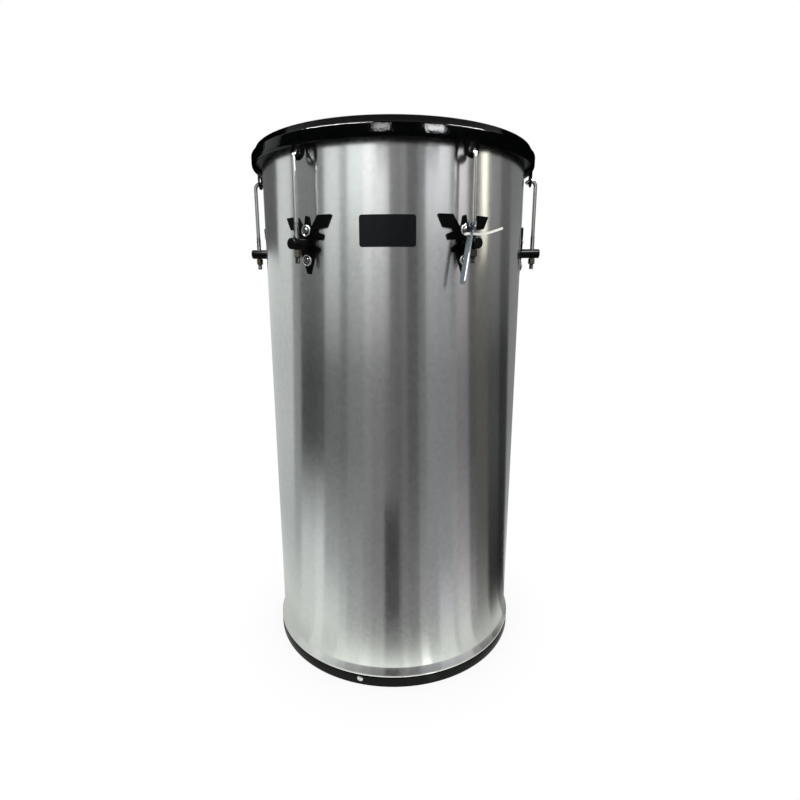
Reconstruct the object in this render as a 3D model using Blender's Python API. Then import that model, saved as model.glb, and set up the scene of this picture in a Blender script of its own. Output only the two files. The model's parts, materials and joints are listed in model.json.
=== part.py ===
"""Tantan: a tall one-headed samba hand drum with an aluminium shell and six hook rods.

Sizes are in millimetres and become metres where a mesh is made. +Z is up, -Y is the front,
and the origin is the centre of the foot ring's underside. A station is one tuning point: a
bracket, a post, a hook rod and a nut. Each station is modelled at the front and turned into
its place, so there x runs across, -y points out from the shell and z is height.
"""
import math

import bmesh
import bpy
from mathutils import Matrix

MM = 0.001

# Fits
GAP = 0.3
ROD_CLEARANCE = 0.45
BOLT_CLEARANCE = 0.4

# Roundness of the turned pieces
RING_SEGMENTS = 48
BAR_SIDES = 8

# Shell
SHELL_RADIUS = 177.8
SHELL_WALL = 1.5
SHELL_HEIGHT = 686.3
EDGE_ROLL = 4.0
EDGE_TURN = 150.0
HEM_HEIGHT = 11.9
HEM_PROUD = 4.8

# Foot ring
FOOT_HEIGHT = 14.8
FOOT_FLOOR = 3.5
FOOT_OUTER_LEG = 4.5
FOOT_INNER_LEG = 2.0
FOOT_INNER_HEIGHT = 13.3
FOOT_EDGE = 1.0
RIVET_COUNT = 3
RIVET_TURN = -11.2
RIVET_HEIGHT = 9.4
RIVET_HEAD_RADIUS = 3.8
RIVET_HEAD_HEIGHT = 1.5
RIVET_SHANK_RADIUS = 2.0
RIVET_BULB_RADIUS = 3.2
RIVET_BULB_LENGTH = 2.6
RIVET_MANDREL_RADIUS = 1.1
RIVET_MANDREL_DEPTH = 0.8

# Head and flesh hoop
SKIN = 0.8
FLESH_WIDTH = 6.4
FLESH_HEIGHT = 6.4
FLESH_CORNER = 1.4

# Hoop
HOOP_SHEET = 2.2
HOOP_DEPTH = 23.1
HOOP_RISE = 2.5
HOOP_ROOM = 1.7
BEAD_RADIUS = 3.2
BEAD_ROOM = 0.4
LIP_RADIUS = 4.5
LIP_TURN = 68.0
SHOULDER_DROP = 8.0
EAR_WIDTH = 18.0
EAR_SHEET = 1.7
EAR_RIM = 5.0
EAR_HOLE_WIDTH = 11.6
EAR_HOLE_HEIGHT = 10.6

# Stations
STATION_COUNT = 6
STATION_TURN = 30.0
POST_DROP = 124.0
ROD_STANDOFF = 18.7
ROD_RADIUS = 2.5
THREAD_RADIUS = 2.9
THREAD_LENGTH = 44.0
HOOK_BEND = 6.8
HOOK_TURN = 150.0
POST_RADIUS = 6.25
POST_REACH = 28.8
POST_EDGE = 1.2
SPIGOT_RADIUS = 4.0
NUT_ACROSS = 8.0
NUT_HEIGHT = 7.7
NUT_CHAMFER = 0.5
ROD_TAIL = 6.9

# Bracket plate: right half of its outline, across and up from the post's centre
BRACKET_SHEET = 2.2
BRACKET_BEND_STEP = 12.0
BRACKET_HALF = [
    (1.5, 31.9), (3.4, 21.5), (5.6, 17.6),
    (15.7, 32.0), (33.7, 31.8), (26.8, 18.0), (14.3, 16.6), (13.8, 14.2),
    (22.8, 10.8), (20.7, 4.7), (9.6, 5.7), (9.2, 1.4),
    (16.7, -3.4), (14.8, -8.9), (9.4, -9.6), (1.1, -32.2),
]
SCREW_RISE = 15.6
SCREW_DROP = 17.0
SCREW_RADIUS = 2.4
SCREW_HEAD_RADIUS = 4.4
SCREW_HEAD_HEIGHT = 3.2
WASHER_RADIUS = 6.6
WASHER_RIM = 1.7
WASHER_DISH = 0.9
SCREW_TAIL = 1.6
INNER_NUT_ACROSS = 8.0
INNER_NUT_HEIGHT = 4.0

# Label
LABEL_WIDTH = 63.0
LABEL_HEIGHT = 34.0
LABEL_SHEET = 0.4
LABEL_CORNER = 3.0
LABEL_DROP = 110.9
LABEL_TURN = 1.3

# Tuning key and the tie that holds it to the front right rod
KEY_STATION = 1
KEY_SHEET = 2.3
KEY_WIDTH = 8.6
KEY_DROP = 54.5
KEY_HEAD_RADIUS = 7.4
KEY_HEAD_RISE = 9.5
KEY_JAW_RISE = 6.0
KEY_JAW_DEPTH = 2.0
KEY_CLEARANCE = 0.15
KEY_HOLE_RADIUS = 2.8
KEY_RISE = 9.4
KEY_LEAN = 9.5
TIE_WIDTH = 2.6
TIE_THICKNESS = 1.2
TIE_SLACK = 0.5
TIE_RIGHT = 5.0
TIE_BEND_STEPS = 6
TIE_LOCK = (4.6, 4.6, 4.2)
TIE_TAIL_LENGTH = 26.0
TIE_TAIL_RISE = 8.0
TIE_TAIL_STEPS = 5

# Places that follow from the sizes
SHELL_INNER = SHELL_RADIUS - SHELL_WALL
SHELL_FOOT_Z = FOOT_FLOOR + GAP
SHELL_TOP_Z = SHELL_FOOT_Z + SHELL_HEIGHT
EDGE_RADIUS = SHELL_RADIUS - EDGE_ROLL
EDGE_Z = SHELL_TOP_Z - EDGE_ROLL
HEM_Z = FOOT_HEIGHT + GAP
FOOT_RADIUS = SHELL_RADIUS + GAP + FOOT_OUTER_LEG
FOOT_INNER = SHELL_INNER - GAP - FOOT_INNER_LEG

HEAD_TOP_Z = SHELL_TOP_Z + GAP + SKIN
COLLAR_INNER = SHELL_RADIUS + GAP
COLLAR_OUTER = COLLAR_INNER + SKIN
HOOP_TOP_Z = HEAD_TOP_Z + HOOP_RISE
BEAD_Z = HOOP_TOP_Z - BEAD_RADIUS
BEAD_MIDDLE = COLLAR_OUTER + BEAD_ROOM + BEAD_RADIUS
FLESH_INNER = COLLAR_OUTER + GAP
FLESH_OUTER = FLESH_INNER + FLESH_WIDTH
FLESH_TOP_Z = BEAD_Z - BEAD_RADIUS - GAP
FLESH_LOW_Z = FLESH_TOP_Z - FLESH_HEIGHT
HOOP_INNER = FLESH_OUTER + GAP + SKIN + HOOP_ROOM
HOOP_OUTER = HOOP_INNER + HOOP_SHEET
HOOP_LOW_Z = HOOP_TOP_Z - HOOP_DEPTH
FACET = math.cos(math.pi / RING_SEGMENTS)

POST_Z = SHELL_TOP_Z - POST_DROP
ROD_CIRCLE = SHELL_RADIUS + ROD_STANDOFF
PLATE_INNER = SHELL_RADIUS + GAP
PLATE_OUTER = PLATE_INNER + BRACKET_SHEET
NUT_TOP_Z = POST_Z - POST_RADIUS - GAP
ROD_LOW_Z = NUT_TOP_Z - NUT_HEIGHT - ROD_TAIL

EAR_OUTER = HOOP_OUTER * FACET - 0.1
EAR_INNER = EAR_OUTER - EAR_SHEET
EAR_MIDDLE = EAR_INNER + EAR_SHEET / 2.0
HOOK_MIDDLE = ROD_CIRCLE - HOOK_BEND
EAR_HOLE_TOP_Z = HOOP_LOW_Z - 0.4
EAR_HOLE_LOW_Z = EAR_HOLE_TOP_Z - EAR_HOLE_HEIGHT
EAR_LOW_Z = EAR_HOLE_LOW_Z - EAR_RIM
HOOK_Z = EAR_HOLE_LOW_Z + GAP + ROD_RADIUS - HOOK_BEND

LABEL_Z = SHELL_TOP_Z - LABEL_DROP
TIE_BEND = THREAD_RADIUS + TIE_SLACK + TIE_THICKNESS / 2.0
KEY_PIVOT_Z = POST_Z + KEY_RISE
KEY_CIRCLE = ROD_CIRCLE + TIE_BEND
KEY_TURN = math.radians(KEY_LEAN)
KEY_TOP = KEY_HEAD_RISE + KEY_JAW_RISE
PAST_POST = (POST_RADIUS + GAP + KEY_SHEET / 2.0 - KEY_RISE * math.sin(KEY_TURN)) / math.cos(KEY_TURN)
PAST_ROD = THREAD_RADIUS + GAP + KEY_SHEET / 2.0 / math.cos(KEY_TURN) + KEY_TOP * math.tan(KEY_TURN)
KEY_ACROSS = -max(PAST_POST, PAST_ROD)


def clear_scene():
    """Remove everything, so that the drum is alone in the file."""
    for existing in list(bpy.data.objects):
        bpy.data.objects.remove(existing, do_unlink=True)


def finish(name, colour, roughness, metallic):
    """A plain material for one kind of piece."""
    material = bpy.data.materials.new(name)
    material.use_nodes = True
    shader = material.node_tree.nodes["Principled BSDF"]
    shader.inputs["Base Color"].default_value = (*colour, 1.0)
    shader.inputs["Roughness"].default_value = roughness
    shader.inputs["Metallic"].default_value = metallic
    return material


def mesh_from(bm, name):
    """Close a bmesh into a mesh whose faces point out."""
    bmesh.ops.remove_doubles(bm, verts=bm.verts, dist=1e-7)
    bmesh.ops.recalc_face_normals(bm, faces=bm.faces)
    mesh = bpy.data.meshes.new(name)
    bm.to_mesh(mesh)
    bm.free()
    return mesh


def place(name, mesh, material, turn=0.0, at=(0.0, 0.0, 0.0), lean=0.0, parent=None, sharp=35.0):
    """Put a mesh in the scene as one named piece, at a place in millimetres."""
    piece = bpy.data.objects.new(name, mesh)
    bpy.context.collection.objects.link(piece)
    mesh.materials.clear()
    mesh.materials.append(material)
    mesh.shade_smooth()
    mesh.set_sharp_from_angle(angle=math.radians(sharp))
    piece.location = [value * MM for value in at]
    piece.rotation_euler = (0.0, math.radians(lean), math.radians(turn))
    if parent is not None:
        piece.parent = parent
    return piece


def anchor(name, at=(0.0, 0.0, 0.0)):
    """An empty that carries the pieces of one moving body."""
    empty = bpy.data.objects.new(name, None)
    bpy.context.collection.objects.link(empty)
    empty.location = [value * MM for value in at]
    return empty


def arc(centre, radius, start, end, steps):
    """Points along an arc in the radius and height plane, angles in degrees."""
    angles = [math.radians(start + (end - start) * i / steps) for i in range(steps + 1)]
    return [(centre[0] + radius * math.cos(a), centre[1] + radius * math.sin(a)) for a in angles]


def turned(profile, segments, name):
    """Spin a closed profile of (radius, height) points a full turn about Z."""
    bm = bmesh.new()
    verts = [bm.verts.new((0.0, -radius * MM, height * MM)) for radius, height in profile]
    edges = [bm.edges.new((a, b)) for a, b in zip(verts, verts[1:] + verts[:1])
             if a.co.y != 0.0 or b.co.y != 0.0]
    bmesh.ops.spin(bm, geom=verts + edges, cent=(0.0, 0.0, 0.0), axis=(0.0, 0.0, 1.0),
                   angle=2.0 * math.pi, steps=segments, use_merge=True, use_duplicate=False)
    return mesh_from(bm, name)


def facing_out(mesh, distance, height):
    """Lay a piece turned about Z down, so that its top points out from the shell."""
    mesh.transform(Matrix.Translation((0.0, -distance * MM, height * MM))
                   @ Matrix.Rotation(math.pi / 2.0, 4, "X"))
    return mesh


def bar(path, radii, sides, name, start=0.0):
    """Round bar along (distance out, height) points, with a radius at each."""
    bm = bmesh.new()
    rings = []
    for i, (out, height) in enumerate(path):
        before = path[max(i - 1, 0)]
        after = path[min(i + 1, len(path) - 1)]
        heading = math.atan2(after[1] - before[1], after[0] - before[0])
        ring = []
        for k in range(sides):
            turn = start + 2.0 * math.pi * k / sides
            across = radii[i] * math.sin(turn)
            aside = radii[i] * math.cos(turn)
            ring.append(bm.verts.new((across * MM, -(out + aside * math.sin(heading)) * MM,
                                      (height - aside * math.cos(heading)) * MM)))
        rings.append(ring)
    for one, two in zip(rings, rings[1:]):
        for k in range(sides):
            bm.faces.new((one[k], one[(k + 1) % sides], two[(k + 1) % sides], two[k]))
    bm.faces.new(rings[0])
    bm.faces.new(rings[-1])
    return mesh_from(bm, name)


def rolled_plate(outline, inner, thickness, step, name):
    """Cut a plate to (across, height) points and roll it to the inner radius."""
    bm = bmesh.new()
    bm.faces.new([bm.verts.new((across, 0.0, height)) for across, height in outline])
    low = min(across for across, height in outline)
    high = max(across for across, height in outline)
    cuts = max(2, math.ceil((high - low) / step))
    for i in range(1, cuts):
        place_x = low + (high - low) * i / cuts
        bmesh.ops.bisect_plane(bm, geom=bm.verts[:] + bm.edges[:] + bm.faces[:], dist=1e-5,
                               plane_co=(place_x, 0.0, 0.0), plane_no=(1.0, 0.0, 0.0))
    bmesh.ops.triangulate(bm, faces=bm.faces[:])
    front = bmesh.ops.extrude_face_region(bm, geom=bm.faces[:])["geom"]
    bmesh.ops.translate(bm, vec=(0.0, -thickness, 0.0),
                        verts=[item for item in front if isinstance(item, bmesh.types.BMVert)])
    for vert in bm.verts:
        radius = (inner - vert.co.y) * MM
        angle = vert.co.x / inner
        vert.co = (radius * math.sin(angle), -radius * math.cos(angle), vert.co.z * MM)
    return mesh_from(bm, name)


def flat_plate(outline, thickness, name):
    """Extrude (across, height) points into a flat plate, centred on y = 0."""
    bm = bmesh.new()
    back = thickness / 2.0 * MM
    bm.faces.new([bm.verts.new((across * MM, back, height * MM)) for across, height in outline])
    front = bmesh.ops.extrude_face_region(bm, geom=bm.faces[:])["geom"]
    bmesh.ops.translate(bm, vec=(0.0, -thickness * MM, 0.0),
                        verts=[item for item in front if isinstance(item, bmesh.types.BMVert)])
    return mesh_from(bm, name)


def rod_cutter(radius, length, sides, matrix):
    """A cylinder along its own Z, for drilling."""
    bm = bmesh.new()
    bmesh.ops.create_cone(bm, cap_ends=True, segments=sides, radius1=radius * MM, radius2=radius * MM,
                          depth=length * MM, matrix=matrix)
    return mesh_from(bm, "drill")


def out_at(turn, distance, height):
    """Matrix that points a cutter's Z out of the shell at an angle round the drum."""
    return (Matrix.Rotation(math.radians(turn), 4, "Z")
            @ Matrix.Translation((0.0, -distance * MM, height * MM))
            @ Matrix.Rotation(math.pi / 2.0, 4, "X"))


def joined(meshes, name):
    """Put separate meshes into one, without changing them."""
    bm = bmesh.new()
    for mesh in meshes:
        bm.from_mesh(mesh)
    return mesh_from(bm, name)


def combined(mesh, other, operation):
    """Result of a Boolean between two meshes, as a new mesh under the first one's name."""
    name = mesh.name
    stock = bpy.data.objects.new("stock", mesh)
    tool = bpy.data.objects.new("tool", other)
    for piece in (stock, tool):
        bpy.context.collection.objects.link(piece)
    modifier = stock.modifiers.new("Boolean", "BOOLEAN")
    modifier.operation = operation
    modifier.solver = "EXACT"
    modifier.object = tool
    graph = bpy.context.evaluated_depsgraph_get()
    result = bpy.data.meshes.new_from_object(stock.evaluated_get(graph))
    for piece in (stock, tool):
        bpy.data.objects.remove(piece, do_unlink=True)
    mesh.name = name + "_stock"
    result.name = name
    return result


def drilled(mesh, cutters):
    """Cut every drill out of a mesh in one go."""
    return combined(mesh, joined(cutters, "drills"), "DIFFERENCE")


def station_turns():
    """Angles of the stations, from the front left one round to the right."""
    return [STATION_TURN * (2 * i - 1) for i in range(STATION_COUNT)]


def screw_offsets():
    """Heights of a station's screws over its post's middle, by name."""
    return [("upper", SCREW_RISE), ("lower", -SCREW_DROP)]


def rivet_turns():
    """Angles of the foot ring's rivets."""
    return [RIVET_TURN + 360.0 * i / RIVET_COUNT for i in range(RIVET_COUNT)]


def shell_mesh():
    """Tube with a turned-in bearing edge and a flared stiffening hem over the foot ring."""
    hem_top = HEM_Z + HEM_HEIGHT
    outer = [(SHELL_RADIUS, SHELL_FOOT_Z), (SHELL_RADIUS, HEM_Z), (SHELL_RADIUS + HEM_PROUD, HEM_Z + 0.4),
             (SHELL_RADIUS + HEM_PROUD, HEM_Z + 1.2),
             (SHELL_RADIUS + HEM_PROUD * 0.48, HEM_Z + HEM_HEIGHT * 0.48),
             (SHELL_RADIUS + HEM_PROUD * 0.14, HEM_Z + HEM_HEIGHT * 0.82), (SHELL_RADIUS, hem_top)]
    edge = arc((EDGE_RADIUS, EDGE_Z), EDGE_ROLL, 0.0, EDGE_TURN, 5)
    under = arc((EDGE_RADIUS, EDGE_Z), EDGE_ROLL - SHELL_WALL, EDGE_TURN, 0.0, 4)
    inner = [(SHELL_INNER, hem_top), (SHELL_INNER + HEM_PROUD * 0.45, HEM_Z + SHELL_WALL + 1.2),
             (SHELL_INNER, HEM_Z + SHELL_WALL), (SHELL_INNER, SHELL_FOOT_Z)]
    tube = turned(outer + edge + under + inner, RING_SEGMENTS, "shell")
    drills = [rod_cutter(SCREW_RADIUS + BOLT_CLEARANCE, 12.0, 12, out_at(turn, SHELL_RADIUS, POST_Z + offset))
              for turn in station_turns() for _, offset in screw_offsets()]
    drills += [rod_cutter(RIVET_SHANK_RADIUS + GAP, 12.0, 12, out_at(turn, SHELL_RADIUS, RIVET_HEIGHT))
               for turn in rivet_turns()]
    return drilled(tube, drills)


def foot_ring_mesh():
    """Channel that takes the shell's lower edge, with its outer edges eased."""
    profile = [(FOOT_INNER, 0.0), (FOOT_RADIUS - FOOT_EDGE, 0.0), (FOOT_RADIUS, FOOT_EDGE),
               (FOOT_RADIUS, FOOT_HEIGHT - FOOT_EDGE), (FOOT_RADIUS - FOOT_EDGE, FOOT_HEIGHT),
               (SHELL_RADIUS + GAP, FOOT_HEIGHT), (SHELL_RADIUS + GAP, FOOT_FLOOR),
               (SHELL_INNER - GAP, FOOT_FLOOR), (SHELL_INNER - GAP, FOOT_INNER_HEIGHT),
               (FOOT_INNER, FOOT_INNER_HEIGHT)]
    ring = turned(profile, RING_SEGMENTS, "foot_ring")
    drills = [rod_cutter(RIVET_SHANK_RADIUS + GAP, 30.0, 12, out_at(turn, SHELL_RADIUS, RIVET_HEIGHT))
              for turn in rivet_turns()]
    return drilled(ring, drills)


def rivet_mesh():
    """Blind rivet: domed head with the mandrel's dimple outside, set bulb inside the ring."""
    face = FOOT_RADIUS + GAP
    back = FOOT_INNER - GAP
    profile = [(0.0, face + RIVET_HEAD_HEIGHT - RIVET_MANDREL_DEPTH),
               (RIVET_MANDREL_RADIUS, face + RIVET_HEAD_HEIGHT - RIVET_MANDREL_DEPTH),
               (RIVET_MANDREL_RADIUS, face + RIVET_HEAD_HEIGHT),
               (RIVET_HEAD_RADIUS * 0.7, face + RIVET_HEAD_HEIGHT * 0.8),
               (RIVET_HEAD_RADIUS, face), (RIVET_SHANK_RADIUS, face), (RIVET_SHANK_RADIUS, back),
               (RIVET_BULB_RADIUS, back - RIVET_BULB_LENGTH * 0.3), (0.0, back - RIVET_BULB_LENGTH)]
    return facing_out(turned([(r, d - face) for r, d in profile], 10, "rivet"), face, 0.0)


def head_mesh():
    """Skin over the bearing edge, down the collar, and lapped under and round the flesh hoop."""
    lap_top = FLESH_TOP_Z - FLESH_CORNER
    bend = FLESH_CORNER + GAP
    over = [(0.0, SHELL_TOP_Z + GAP)]
    inside = arc((EDGE_RADIUS, EDGE_Z), EDGE_ROLL + GAP, 90.0, 0.0, 3)
    inside += [(COLLAR_INNER, FLESH_LOW_Z - GAP - SKIN)]
    inside += [(FLESH_OUTER + GAP + SKIN - bend, FLESH_LOW_Z - GAP - SKIN)]
    inside += [(FLESH_OUTER + GAP + SKIN, FLESH_LOW_Z - GAP - SKIN + bend),
               (FLESH_OUTER + GAP + SKIN, lap_top)]
    outside = [(FLESH_OUTER + GAP, lap_top), (FLESH_OUTER + GAP, FLESH_LOW_Z - GAP + bend * 0.6)]
    outside += [(FLESH_OUTER + GAP - bend * 0.6, FLESH_LOW_Z - GAP), (COLLAR_OUTER, FLESH_LOW_Z - GAP)]
    outside += arc((EDGE_RADIUS, EDGE_Z), EDGE_ROLL + GAP + SKIN, 0.0, 90.0, 3)
    return turned(over + inside + outside + [(0.0, HEAD_TOP_Z)], RING_SEGMENTS, "head")


def flesh_hoop_mesh():
    """Bar with eased corners that the skin is lapped round."""
    c = FLESH_CORNER
    profile = [(FLESH_INNER + c, FLESH_LOW_Z), (FLESH_OUTER - c, FLESH_LOW_Z), (FLESH_OUTER, FLESH_LOW_Z + c),
               (FLESH_OUTER, FLESH_TOP_Z - c), (FLESH_OUTER - c, FLESH_TOP_Z), (FLESH_INNER + c, FLESH_TOP_Z),
               (FLESH_INNER, FLESH_TOP_Z - c), (FLESH_INNER, FLESH_LOW_Z + c)]
    return turned(profile, RING_SEGMENTS, "flesh_hoop")


def ear_mesh():
    """Drilled tab under the hoop wall that one hook rod grips."""
    half = EAR_WIDTH / 2.0
    root = HOOP_LOW_Z + LIP_RADIUS + 3.0
    outline = [(half, root)] + arc((0.0, EAR_LOW_Z + half), half, 0.0, -180.0, 8) + [(-half, root)]
    tab = rolled_plate(outline, EAR_INNER, EAR_SHEET, EAR_WIDTH / 2.0, "ear")
    reach = EAR_HOLE_WIDTH / 2.0
    slot = arc((0.0, EAR_HOLE_LOW_Z + reach), reach, 180.0, 360.0, 6)
    slot += [(reach * 0.8, EAR_HOLE_TOP_Z), (-reach * 0.8, EAR_HOLE_TOP_Z)]
    punch = flat_plate(slot, 4.0 * EAR_SHEET, "punch")
    punch.transform(Matrix.Translation((0.0, -EAR_MIDDLE * MM, 0.0)))
    return drilled(tab, [punch])


def hoop_mesh():
    """Pressed hoop: curled lower lip, upright wall, shoulder and rolled bead, with six ears."""
    shoulder_z = HOOP_TOP_Z - SHOULDER_DROP
    lip = (HOOP_OUTER - LIP_RADIUS, HOOP_LOW_Z + LIP_RADIUS)
    outer = arc(lip, LIP_RADIUS, -LIP_TURN, 0.0, 3)
    outer += [(HOOP_OUTER, shoulder_z - 1.0), (HOOP_OUTER - 0.9, shoulder_z + 0.6)]
    bead = arc((BEAD_MIDDLE, BEAD_Z), BEAD_RADIUS, 40.0, 270.0, 6)
    under = [(HOOP_INNER - 2.0, BEAD_Z - BEAD_RADIUS), (HOOP_INNER, BEAD_Z - BEAD_RADIUS - 2.0)]
    inner = arc(lip, LIP_RADIUS - HOOP_SHEET, 0.0, -LIP_TURN, 2)
    band = turned(outer + bead + under + inner, RING_SEGMENTS, "hoop")
    ears = []
    for turn in station_turns():
        ear = ear_mesh()
        ear.transform(Matrix.Rotation(math.radians(turn), 4, "Z"))
        ears.append(ear)
    return combined(band, joined(ears, "ears"), "UNION")


def bracket_mesh():
    """Winged plate rolled to the shell, drilled for its screws and the post's spigot."""
    outline = [(across, POST_Z + up) for across, up in BRACKET_HALF]
    outline += [(-across, height) for across, height in reversed(outline)]
    plate = rolled_plate(outline, PLATE_INNER, BRACKET_SHEET, BRACKET_BEND_STEP, "bracket")
    holes = [rod_cutter(SCREW_RADIUS + BOLT_CLEARANCE, 12.0, 12, out_at(0.0, PLATE_INNER, POST_Z + offset))
             for _, offset in screw_offsets()]
    holes.append(rod_cutter(SPIGOT_RADIUS + GAP, 12.0, 12, out_at(0.0, PLATE_INNER, POST_Z)))
    return drilled(plate, holes)


def post_mesh():
    """Round post on the bracket, with a cross hole for the rod."""
    end = SHELL_RADIUS + POST_REACH
    shoulder = PLATE_OUTER + GAP
    profile = [(0.0, end), (POST_RADIUS - POST_EDGE, end), (POST_RADIUS, end - POST_EDGE),
               (POST_RADIUS, shoulder), (SPIGOT_RADIUS, shoulder), (SPIGOT_RADIUS, PLATE_INNER + GAP),
               (0.0, PLATE_INNER + GAP)]
    post = facing_out(turned(profile, 14, "post"), 0.0, POST_Z)
    hole = rod_cutter(THREAD_RADIUS + ROD_CLEARANCE, 4.0 * POST_RADIUS, 12,
                      Matrix.Translation((0.0, -ROD_CIRCLE * MM, POST_Z * MM)))
    return drilled(post, [hole])


def hook_rod_mesh():
    """Rod with a thread-rolled lower end and a hook that comes in through the hoop's ear."""
    thread_top = ROD_LOW_Z + THREAD_LENGTH
    path = [(ROD_CIRCLE, ROD_LOW_Z), (ROD_CIRCLE, ROD_LOW_Z + 0.8), (ROD_CIRCLE, thread_top - 0.6),
            (ROD_CIRCLE, thread_top + 0.6)]
    radii = [THREAD_RADIUS - 0.8, THREAD_RADIUS, THREAD_RADIUS, ROD_RADIUS]
    bend = arc((HOOK_MIDDLE, HOOK_Z), HOOK_BEND, 0.0, HOOK_TURN, 8)
    return bar(path + bend, radii + [ROD_RADIUS] * len(bend), BAR_SIDES, "hook_rod")


def nut_mesh(across, height, bore, name):
    """Hexagon nut about its own axis, hanging down from z = 0, with eased ends."""
    corner = across / 2.0 / math.cos(math.pi / 6.0)
    levels = [(0.0, 0.0), (0.0, -NUT_CHAMFER), (0.0, NUT_CHAMFER - height), (0.0, -height)]
    body = bar(levels, [corner - NUT_CHAMFER, corner, corner, corner - NUT_CHAMFER], 6, name)
    middle = Matrix.Translation((0.0, 0.0, -height / 2.0 * MM))
    return drilled(body, [rod_cutter(bore, 3.0 * height, 12, middle)])


def screw_mesh():
    """Bracket screw: dished washer, domed head and a shank that ends inside its nut."""
    seat = PLATE_OUTER + GAP
    tip = SHELL_INNER - GAP - INNER_NUT_HEIGHT - SCREW_TAIL
    profile = [(0.0, seat + SCREW_HEAD_HEIGHT), (SCREW_HEAD_RADIUS * 0.6, seat + SCREW_HEAD_HEIGHT * 0.86),
               (SCREW_HEAD_RADIUS, seat + WASHER_DISH), (WASHER_RADIUS - 1.1, seat + WASHER_RIM),
               (WASHER_RADIUS, seat + WASHER_RIM * 0.6), (WASHER_RADIUS, seat), (SCREW_RADIUS, seat),
               (SCREW_RADIUS, tip + 0.5), (0.0, tip)]
    return facing_out(turned([(r, d - seat) for r, d in profile], 10, "screw"), seat, 0.0)


def inner_nut_mesh():
    """Nut on the bracket screw, against the inside of the shell."""
    corner = INNER_NUT_ACROSS / 2.0 / math.cos(math.pi / 6.0)
    sag = SHELL_INNER - math.sqrt(SHELL_INNER ** 2 - corner ** 2)
    seat = SHELL_INNER * FACET - GAP - sag
    nut = nut_mesh(INNER_NUT_ACROSS, INNER_NUT_HEIGHT, SCREW_RADIUS + GAP, "inner_nut")
    return facing_out(nut, seat, 0.0)


def label_mesh():
    """Thin rolled plate with round corners."""
    half_w = LABEL_WIDTH / 2.0 - LABEL_CORNER
    half_h = LABEL_HEIGHT / 2.0 - LABEL_CORNER
    outline = []
    for side, up, start in ((1, 1, 0.0), (-1, 1, 90.0), (-1, -1, 180.0), (1, -1, 270.0)):
        outline += arc((side * half_w, LABEL_Z + up * half_h), LABEL_CORNER, start, start + 90.0, 3)
    return rolled_plate(outline, SHELL_RADIUS + GAP, LABEL_SHEET, 8.0, "label")


def tuning_key_mesh():
    """Flat open key in the plane that points out from the shell, about its tie hole's pivot."""
    half = KEY_WIDTH / 2.0
    jaw = NUT_ACROSS / 2.0 + KEY_CLEARANCE
    neck = math.degrees(math.asin(half / KEY_HEAD_RADIUS))
    right = arc((0.0, -KEY_DROP + half), half, 270.0, 360.0, 4)
    right += arc((0.0, KEY_HEAD_RISE), KEY_HEAD_RADIUS, neck - 90.0, 45.0, 6)
    right += [(jaw, KEY_TOP), (jaw, KEY_HEAD_RISE + KEY_JAW_DEPTH / 4.0),
              (jaw / 2.0, KEY_HEAD_RISE - KEY_JAW_DEPTH)]
    left = [(-out, height) for out, height in reversed(right[1:])]
    blank = flat_plate(right + left, KEY_SHEET, "tuning_key")
    hang = KEY_HOLE_RADIUS - TIE_WIDTH / 2.0 - KEY_CLEARANCE - GAP
    punch = rod_cutter(KEY_HOLE_RADIUS, 3.0 * KEY_SHEET, 12,
                       Matrix.Translation((0.0, 0.0, -hang * MM)) @ Matrix.Rotation(math.pi / 2.0, 4, "X"))
    key = drilled(blank, [punch])
    key.transform(Matrix.Rotation(-math.pi / 2.0, 4, "Z"))
    return key


def tie_band(points, closed, name):
    """Flat band along (across, distance out, height) points, standing on edge."""
    bm = bmesh.new()
    rings = []
    count = len(points)
    for i, (across, out, height) in enumerate(points):
        before = points[i - 1] if closed or i > 0 else points[0]
        after = points[(i + 1) % count] if closed or i < count - 1 else points[-1]
        heading = math.atan2(after[1] - before[1], after[0] - before[0])
        side = (math.sin(heading) * TIE_THICKNESS / 2.0, -math.cos(heading) * TIE_THICKNESS / 2.0)
        rings.append([bm.verts.new(((across + s * side[0]) * MM, -(out + s * side[1]) * MM,
                                    (height + u * TIE_WIDTH / 2.0) * MM))
                      for s, u in ((1, 1), (-1, 1), (-1, -1), (1, -1))])
    pairs = list(zip(rings, rings[1:])) + ([(rings[-1], rings[0])] if closed else [])
    for one, two in pairs:
        for k in range(4):
            bm.faces.new((one[k], one[(k + 1) % 4], two[(k + 1) % 4], two[k]))
    if not closed:
        bm.faces.new(rings[0])
        bm.faces.new(rings[-1])
    return mesh_from(bm, name)


def cable_tie_mesh():
    """Tie looped round the rod and through the key's hole, with its lock and long tail."""
    left = KEY_ACROSS - KEY_SHEET / 2.0
    loop = arc((TIE_RIGHT, ROD_CIRCLE), TIE_BEND, -90.0, 90.0, TIE_BEND_STEPS)
    loop += arc((left, ROD_CIRCLE), TIE_BEND, 90.0, 270.0, TIE_BEND_STEPS)
    band = tie_band([(across, out, KEY_PIVOT_Z) for across, out in loop], True, "cable_tie")
    lock = TIE_RIGHT + TIE_BEND + TIE_LOCK[0] / 2.0 - TIE_THICKNESS / 2.0
    middle = Matrix.Translation((lock * MM, -ROD_CIRCLE * MM, KEY_PIVOT_Z * MM))
    bm = bmesh.new()
    bmesh.ops.create_cube(bm, size=1.0,
                          matrix=middle @ Matrix.Diagonal([value * MM for value in TIE_LOCK] + [1.0]))
    band = combined(band, mesh_from(bm, "lock"), "UNION")
    tail = []
    for i in range(TIE_TAIL_STEPS + 1):
        part = i / TIE_TAIL_STEPS
        tail.append((lock + TIE_TAIL_LENGTH * part, ROD_CIRCLE + TIE_BEND * part ** 2,
                     KEY_PIVOT_Z + TIE_TAIL_RISE * part * (0.8 + 0.2 * part)))
    return combined(band, tie_band(tail, False, "tail"), "UNION")


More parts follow.
